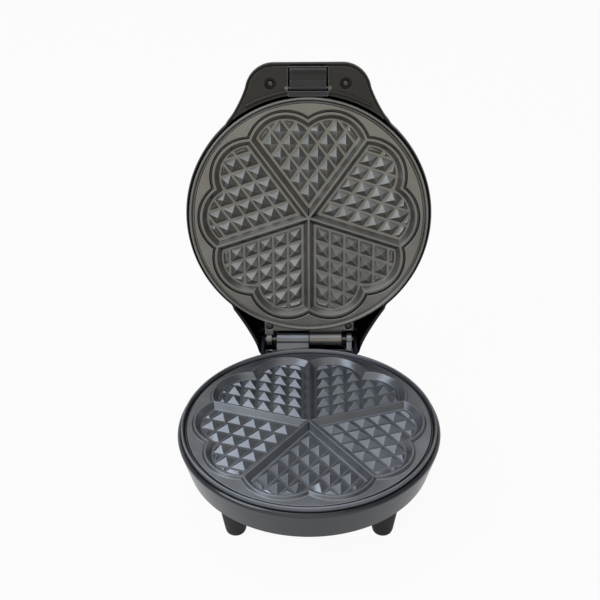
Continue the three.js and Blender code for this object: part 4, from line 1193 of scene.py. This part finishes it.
def grained(name, dark, light, smooth, rough, grain_scale, patch_scale, bump, metallic=0.0, coat=0.0,
            specular=0.5):
    """A finish whose shade and gloss vary finely, with a fine relief"""
    material, shader = make_material(name, light, (smooth + rough) / 2, metallic, coat, specular)
    tree = material.node_tree
    grain = node(tree, "Group", {
        "Dark": (*dark, 1), "Light": (*light, 1), "Smooth": smooth, "Rough": rough,
        "Grain Scale": grain_scale, "Patch Scale": patch_scale,
    }, node_tree=GRAIN).outputs
    relief = node(tree, "Bump", {"Strength": bump, "Distance": RELIEF_DEPTH, "Height": grain["Height"]})
    feed(tree, shader, {
        "Coat Roughness": COAT_ROUGHNESS, "Base Color": grain["Color"], "Roughness": grain["Roughness"],
        "Normal": relief.outputs["Normal"],
    })
    return material


def with_painted_light(edge_highlight_colour, edge_share, hollow_share, edge_width, hollow_width, *finish):
    """A grained finish with painted highlights along its edges and painted shade in its hollows"""
    material = grained(*finish)
    tree = material.node_tree
    shader = tree.nodes["Principled BSDF"]
    painted_marks = node(tree, "Group", {
        "Color": shader.inputs["Base Color"].links[0].from_socket,
        "Roughness": shader.inputs["Roughness"].links[0].from_socket,
        "Painted Edge Highlight": (*edge_highlight_colour, 1), "Edge Share": edge_share, "Hollow Share": hollow_share,
        "Edge Width": edge_width, "Hollow Width": hollow_width,
    }, node_tree=PAINTED_LIGHT).outputs
    feed(tree, shader, {"Base Color": painted_marks["Color"], "Roughness": painted_marks["Roughness"]})
    return material


def coating(name, dark, light, edge, smooth):
    """A plate's cast, coated metal, with painted highlights on its crests and painted shade in its hollows"""
    return with_painted_light(edge, 0.9, 0.9, EDGE_WIDTH, 0.0024, name, dark, light, smooth, smooth + 0.1,
                2600, 40, 0.2, 0.85)


def shell_gloss(name, dark, light, rough, coat, specular):
    """A housing's glossy plastic, with faint painted highlights on its edges and painted shade in its hollows
    """
    return with_painted_light((0.05, 0.051, 0.054), 0.2, 0.3, EDGE_WIDTH, HOLLOW_WIDTH, name, dark, light, 0.12, rough,
                900, 30, 0.02, 0, coat, specular)


# Finishes: dark and light shade, roughness from and to, scale of grain and of patches, relief, metal, coat
# The lower coating's cooler tint and the upper coating's warmer tint are painted reflections; both plates
# have one coating
LOWER_COATING = coating("lower_coating", (0.18, 0.19, 0.215), (0.265, 0.28, 0.315), (0.6, 0.62, 0.66), 0.26)
UPPER_COATING = coating("upper_coating", (0.2, 0.197, 0.188), (0.285, 0.281, 0.27), (0.6, 0.6, 0.6), 0.28)
BASE_GLOSS = shell_gloss("base_gloss", (0.026, 0.029, 0.038), (0.037, 0.041, 0.053), 0.18, 0.3, 0.7)
LID_GLOSS = shell_gloss("lid_gloss", (0.008, 0.008, 0.0085), (0.013, 0.013, 0.014), 0.2, 0, 0.28)
# The liner, the latch and the feet get painted highlights on their edges and painted shade in their hollows
LINER_FINISH = with_painted_light((0.3, 0.28, 0.25), 0.9, 0.6, 0.0008, HOLLOW_WIDTH, "liner_plastic",
                    (0.022, 0.0185, 0.015), (0.044, 0.037, 0.03), 0.42, 0.56, 3200, 50, 0.5)
LATCH_FINISH = with_painted_light((0.3, 0.3, 0.32), 0.8, 0.6, 0.0008, HOLLOW_WIDTH, "latch_plastic",
                    (0.022, 0.023, 0.026), (0.045, 0.046, 0.051), 0.36, 0.5, 3200, 50, 0.3)
FOOT_RUBBER = with_painted_light((0.1, 0.1, 0.1), 0.3, 0.4, EDGE_WIDTH, HOLLOW_WIDTH, "foot_rubber",
                   (0.036, 0.036, 0.038), (0.06, 0.06, 0.063), 0.55, 0.7, 2600, 50, 0.5)
UNDERSIDE = grained("underside", (0.018, 0.018, 0.019), (0.03, 0.03, 0.031), 0.5, 0.65, 2200, 50, 0.4)
STEEL = grained("bright_steel", (0.42, 0.42, 0.43), (0.6, 0.6, 0.61), 0.22, 0.36, 1800, 80, 0.1, 1)
DARK_STEEL = grained("dark_screw_steel", (0.08, 0.08, 0.083), (0.15, 0.15, 0.155), 0.3, 0.45,
                     1800, 80, 0.15, 1)
SHEATH = grained("element_sheath", (0.16, 0.15, 0.14), (0.3, 0.28, 0.26), 0.4, 0.55, 1500, 70, 0.2, 1)
SHEET = grained("reflector_sheet", (0.55, 0.55, 0.56), (0.72, 0.72, 0.73), 0.25, 0.4, 900, 40, 0.1, 1)
CERAMIC = grained("white_ceramic", (0.68, 0.65, 0.58), (0.8, 0.77, 0.7), 0.4, 0.55, 2000, 90, 0.2)
GLAND_RUBBER = grained("gland_rubber", (0.014, 0.014, 0.014), (0.026, 0.026, 0.026), 0.5, 0.65, 2600, 70, 0.4)
RED_LENS = grained("red_lens", (0.32, 0.012, 0.008), (0.42, 0.02, 0.014), 0.08, 0.16, 900, 90, 0.03, 0, 0.5)
GREEN_LENS = grained("green_lens", (0.012, 0.16, 0.035), (0.02, 0.24, 0.055), 0.08, 0.16,
                     900, 90, 0.03, 0, 0.5)


# Setting the pieces in place

PLATE_SMOOTH = 24


def dress(piece, material):
    piece.data.materials.clear()
    piece.data.materials.append(material)


def settle(piece, name, body, slot, material, *nodes, smooth=32):
    """Brings a piece to its place and hands it to its body; it stands for the named nodes"""
    move(piece, OPENED if body in ("lid", "latch") else CLOSED)
    piece.name = name
    dress(piece, material)
    pick(piece)
    bpy.ops.object.shade_smooth_by_angle(angle=deg(smooth))
    apply_modifier(piece, "WEIGHTED_NORMAL", mode="FACE_AREA", keep_sharp=True, weight=50)
    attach(piece, body)
    if nodes:
        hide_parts(*nodes)
    return piece


def make_plates():
    pyramids = all_pyramids()
    settle(lower_plate(copied(pyramids, "pyramids")), "lower_baking_plate", "base", "lower_coating",
           LOWER_COATING, "lower_plate", smooth=PLATE_SMOOTH)
    settle(move(upper_plate(pyramids), FACE_DOWN), "upper_baking_plate", "lid", "upper_coating",
           UPPER_COATING, "upper_plate", smooth=PLATE_SMOOTH)


def make_screws():
    head_down = Matrix.Rotation(math.pi, 4, "Y")
    long_screw, short_screw = screw("screw", LONG_SCREW), screw("screw", SHORT_SCREW)
    seat = -TAB_DROP - SCREW_HEAD_HEIGHT
    for side, sign in (("left", -1), ("right", 1)):
        lower = Matrix.Translation((sign * TAB_SCREW.x, TAB_SCREW.y, seat))
        settle(copied(long_screw, "screw", lower), f"lower_tab_screw_{side}", "base", "plate_screw",
               DARK_STEEL, f"lower_plate_screw_{side}")
        upper = FACE_DOWN @ Matrix.Translation((-sign * TAB_SCREW.x, TAB_SCREW.y, seat))
        settle(copied(long_screw, "screw", upper), f"upper_tab_screw_{side}", "lid", "plate_screw",
               DARK_STEEL, f"upper_plate_screw_{side}")
        cup_floor = LINER_FACE + CUP_DEPTH - SEAT_GAP
        liner = Matrix.Translation((sign * LINER_SCREW.x, LINER_SCREW.y, cup_floor)) @ head_down
        settle(copied(short_screw, "screw", liner), f"handle_screw_{side}", "lid", "bright_steel",
               DARK_STEEL, f"liner_screw_{side}")
    for number, degrees in enumerate(COVER_SCREW_DEGREES, 1):
        place = polar(COVER_SCREW_RADIUS, deg(degrees))
        bottom = Matrix.Translation((*place, BASE_BOTTOM - SEAT_GAP)) @ head_down
        settle(copied(short_screw, "screw", bottom), f"bottom_screw_{number}", "base", "bright_steel",
               STEEL, f"cover_screw_{number}")
    bpy.data.objects.remove(long_screw)
    bpy.data.objects.remove(short_screw)


def make_base():
    settle(base_shell(), "base_housing", "base", "shell", BASE_GLOSS, "base_shell")
    settle(bottom_cover(), "bottom_panel", "base", "underside", UNDERSIDE, "bottom_cover")
    settle(hinge_pin(), "hinge_rod", "base", "bright_steel", DARK_STEEL, "hinge_pin")
    settle(cable_gland(), "cord_bushing", "base", "gland", GLAND_RUBBER, "cable_gland")
    pattern = foot()
    for place in ("front_left", "front_right", "rear_left", "rear_right"):
        low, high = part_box(f"foot_{place}")
        middle = (low + high) / 2
        rubber = copied(pattern, "foot", CLOSED.inverted() @ Matrix.Translation((middle.x, middle.y, 0)))
        settle(rubber, f"rubber_foot_{place}", "base", "foot", FOOT_RUBBER, f"foot_{place}")
    bpy.data.objects.remove(pattern)


def make_lid():
    settle(lid_shell(), "lid_housing", "lid", "shell", LID_GLOSS, "lid_shell")
    liner = union(handle_liner(), liner_bead(-1), liner_bead(1))
    settle(liner, "handle_panel", "lid", "liner", LINER_FINISH, "handle_liner")
    settle(latch_arm(), "latch_clip", "latch", "latch", LATCH_FINISH, "latch_arm")
    pattern = lamp()
    for name, x, slot, finish in (
        ("power", -LAMP_X, "red_lens", RED_LENS), ("ready", LAMP_X, "green_lens", GREEN_LENS),
    ):
        lens = copied(pattern, "lens", Matrix.Translation((x, -LAMP_REACH, LID_HEIGHT + SEAT_GAP)))
        settle(lens, f"{name}_light", "lid", slot, finish, f"lamp_{name}")
    bpy.data.objects.remove(pattern)


def dress_kept_nodes():
    """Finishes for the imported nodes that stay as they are"""
    for finish, names in (
        (SHEATH, ("lower_heating_element", "upper_heating_element")),
        (SHEET, ("lower_reflector", "upper_reflector")),
        (CERAMIC, ("thermostat", "thermal_fuse", "terminal_block")),
        (DARK_STEEL, ("latch_pin",)),
        (LATCH_FINISH, ("latch_bracket",)),
    ):
        for name in names:
            dress(frame["nodes"][name], finish)


# Studio

CAMERA_PLACE = Vector((0.0041, -0.684888, 0.5762))
CAMERA_YAW = -0.90
CAMERA_PITCH = 31.31
CAMERA_ROLL = -0.63
PHOTO_WIDTH = 600
FOCAL_PIXELS = 1017.1
SENSOR_WIDTH = 36
ROOM_LIGHT = 0.14
ROOM_COLOUR = (1, 0.98, 0.95, 1)
FRONT_GLOSS = (1.0, 0.94, 0.8)
SIDE_GLOSS = (0.2, 0.2, 0.2)
BACK_GLOSS = (0.55, 0.52, 0.47)
# Where the bands of gloss lie, from in front (0) to behind (1)
SIDE_BAND = (0.22, 0.6)
BACK_BAND = 0.74
MIRROR_RAYS = ("Is Glossy Ray", "Is Transmission Ray")
PAPER = (0.6, 0.6, 0.6)
PAPER_WHITE = 0.95
PAPER_GLOSS = 0.42
FLOOR_SIZE = 6
LIGHT_COLOUR = (0.89, 0.95, 1)
LIGHT_AIM = 0.14


def make_camera():
    data = bpy.data.cameras.new("camera")
    camera = bpy.data.objects.new("camera", data)
    bpy.context.scene.collection.objects.link(camera)
    yaw, pitch, roll = deg(CAMERA_YAW), deg(CAMERA_PITCH), deg(CAMERA_ROLL)
    ahead = Vector((math.sin(yaw) * math.cos(pitch), math.cos(yaw) * math.cos(pitch), -math.sin(pitch)))
    right = Vector((math.cos(yaw), -math.sin(yaw), 0))
    up = right.cross(ahead)
    rolled_right = right * math.cos(roll) + up * math.sin(roll)
    rolled_up = up * math.cos(roll) - right * math.sin(roll)
    turn = Matrix((rolled_right, rolled_up, -ahead)).transposed()
    camera.matrix_world = Matrix.Translation(CAMERA_PLACE) @ turn.to_4x4()
    data.sensor_width = SENSOR_WIDTH
    data.lens = FOCAL_PIXELS / PHOTO_WIDTH * SENSOR_WIDTH
    bpy.context.scene.camera = camera


def softbox(name, place, target, size, power):
    """A square light that faces its target"""
    data = bpy.data.lights.new(name, "AREA")
    data.shape = "RECTANGLE"
    data.size = data.size_y = size
    data.energy = power
    data.color = LIGHT_COLOUR
    light = bpy.data.objects.new(name, data)
    bpy.context.scene.collection.objects.link(light)
    light.location = place
    light.rotation_mode = "QUATERNION"
    light.rotation_quaternion = (Vector(target) - Vector(place)).to_track_quat("-Z", "Y")


def ray_kind(tree, *kinds):
    """One for the rays of these kinds"""
    path = node(tree, "LightPath")
    share = path.outputs[kinds[0]]
    for kind in kinds[1:]:
        share = node(tree, "Math", {0: share, 1: path.outputs[kind]}, operation="MAXIMUM").outputs[0]
    return share


def make_world():
    """A dim warm room for the object, nearly white for the camera; gloss mirrors it bright and warm in
    front, dark at the sides and half bright behind"""
    world = bpy.data.worlds.new("studio")
    bpy.context.scene.world = world
    world.use_nodes = True
    tree = world.node_tree
    room = tree.nodes["Background"]
    feed(tree, room, {"Color": ROOM_COLOUR, "Strength": ROOM_LIGHT})
    split = node(tree, "SeparateXYZ", {0: node(tree, "TexCoord").outputs["Generated"]})
    spread = node(tree, "MapRange", {"Value": split.outputs["Y"], "From Min": -1})
    ramp = node(tree, "ValToRGB", {"Fac": spread.outputs["Result"]})
    bands = ramp.color_ramp.elements
    bands[0].color = (*FRONT_GLOSS, 1)
    bands[1].color = (*BACK_GLOSS, 1)
    for position in SIDE_BAND:
        bands.new(position).color = (*SIDE_GLOSS, 1)
    bands.new(BACK_BAND).color = (*BACK_GLOSS, 1)
    mirrored = node(tree, "Background", {"Color": ramp.outputs["Color"]})
    backdrop = node(tree, "Background", {"Color": (PAPER_WHITE, PAPER_WHITE, PAPER_WHITE, 1)})
    gloss = node(tree, "MixShader", {
        "Fac": ray_kind(tree, *MIRROR_RAYS), 1: room.outputs[0], 2: mirrored.outputs[0],
    })
    seen = node(tree, "MixShader", {
        "Fac": ray_kind(tree, "Is Camera Ray"), 1: gloss.outputs[0], 2: backdrop.outputs[0],
    })
    feed(tree, tree.nodes["World Output"], {"Surface": seen.outputs[0]})


def make_floor():
    """Pale paper that the camera and gloss see as nearly white, with the object's soft shadow"""
    bpy.ops.object.select_all(action="DESELECT")
    bpy.ops.mesh.primitive_plane_add(size=FLOOR_SIZE)
    floor = bpy.context.object
    floor.name = "floor"
    paper, shader = make_material("paper", PAPER, 0.9)
    tree = paper.node_tree
    mirrored = node(tree, "Math", {0: ray_kind(tree, *MIRROR_RAYS), 1: PAPER_GLOSS}, operation="MULTIPLY")
    share = node(tree, "Math", {0: ray_kind(tree, "Is Camera Ray"), 1: PAPER_WHITE, 2: mirrored.outputs[0]},
                 operation="MULTIPLY_ADD")
    blend = node(tree, "MixShader", {
        "Fac": share.outputs[0], 1: shader.outputs[0], 2: node(tree, "Emission").outputs[0],
    })
    feed(tree, tree.nodes["Material Output"], {"Surface": blend.outputs[0]})
    floor.data.materials.append(paper)


def make_studio():
    make_world()
    softbox("top_light", (-0.45, 0, 1.6), (-0.1, 0, LIGHT_AIM), 2.6, 22)
    softbox("left_light", (-1.09, -0.63, 1.12), (0, 0, LIGHT_AIM), 0.8, 3.5)
    make_floor()


make_camera()
make_studio()
make_plates()
make_base()
make_lid()
make_screws()
dress_kept_nodes()

bpy.context.scene.view_settings.view_transform = "Standard"
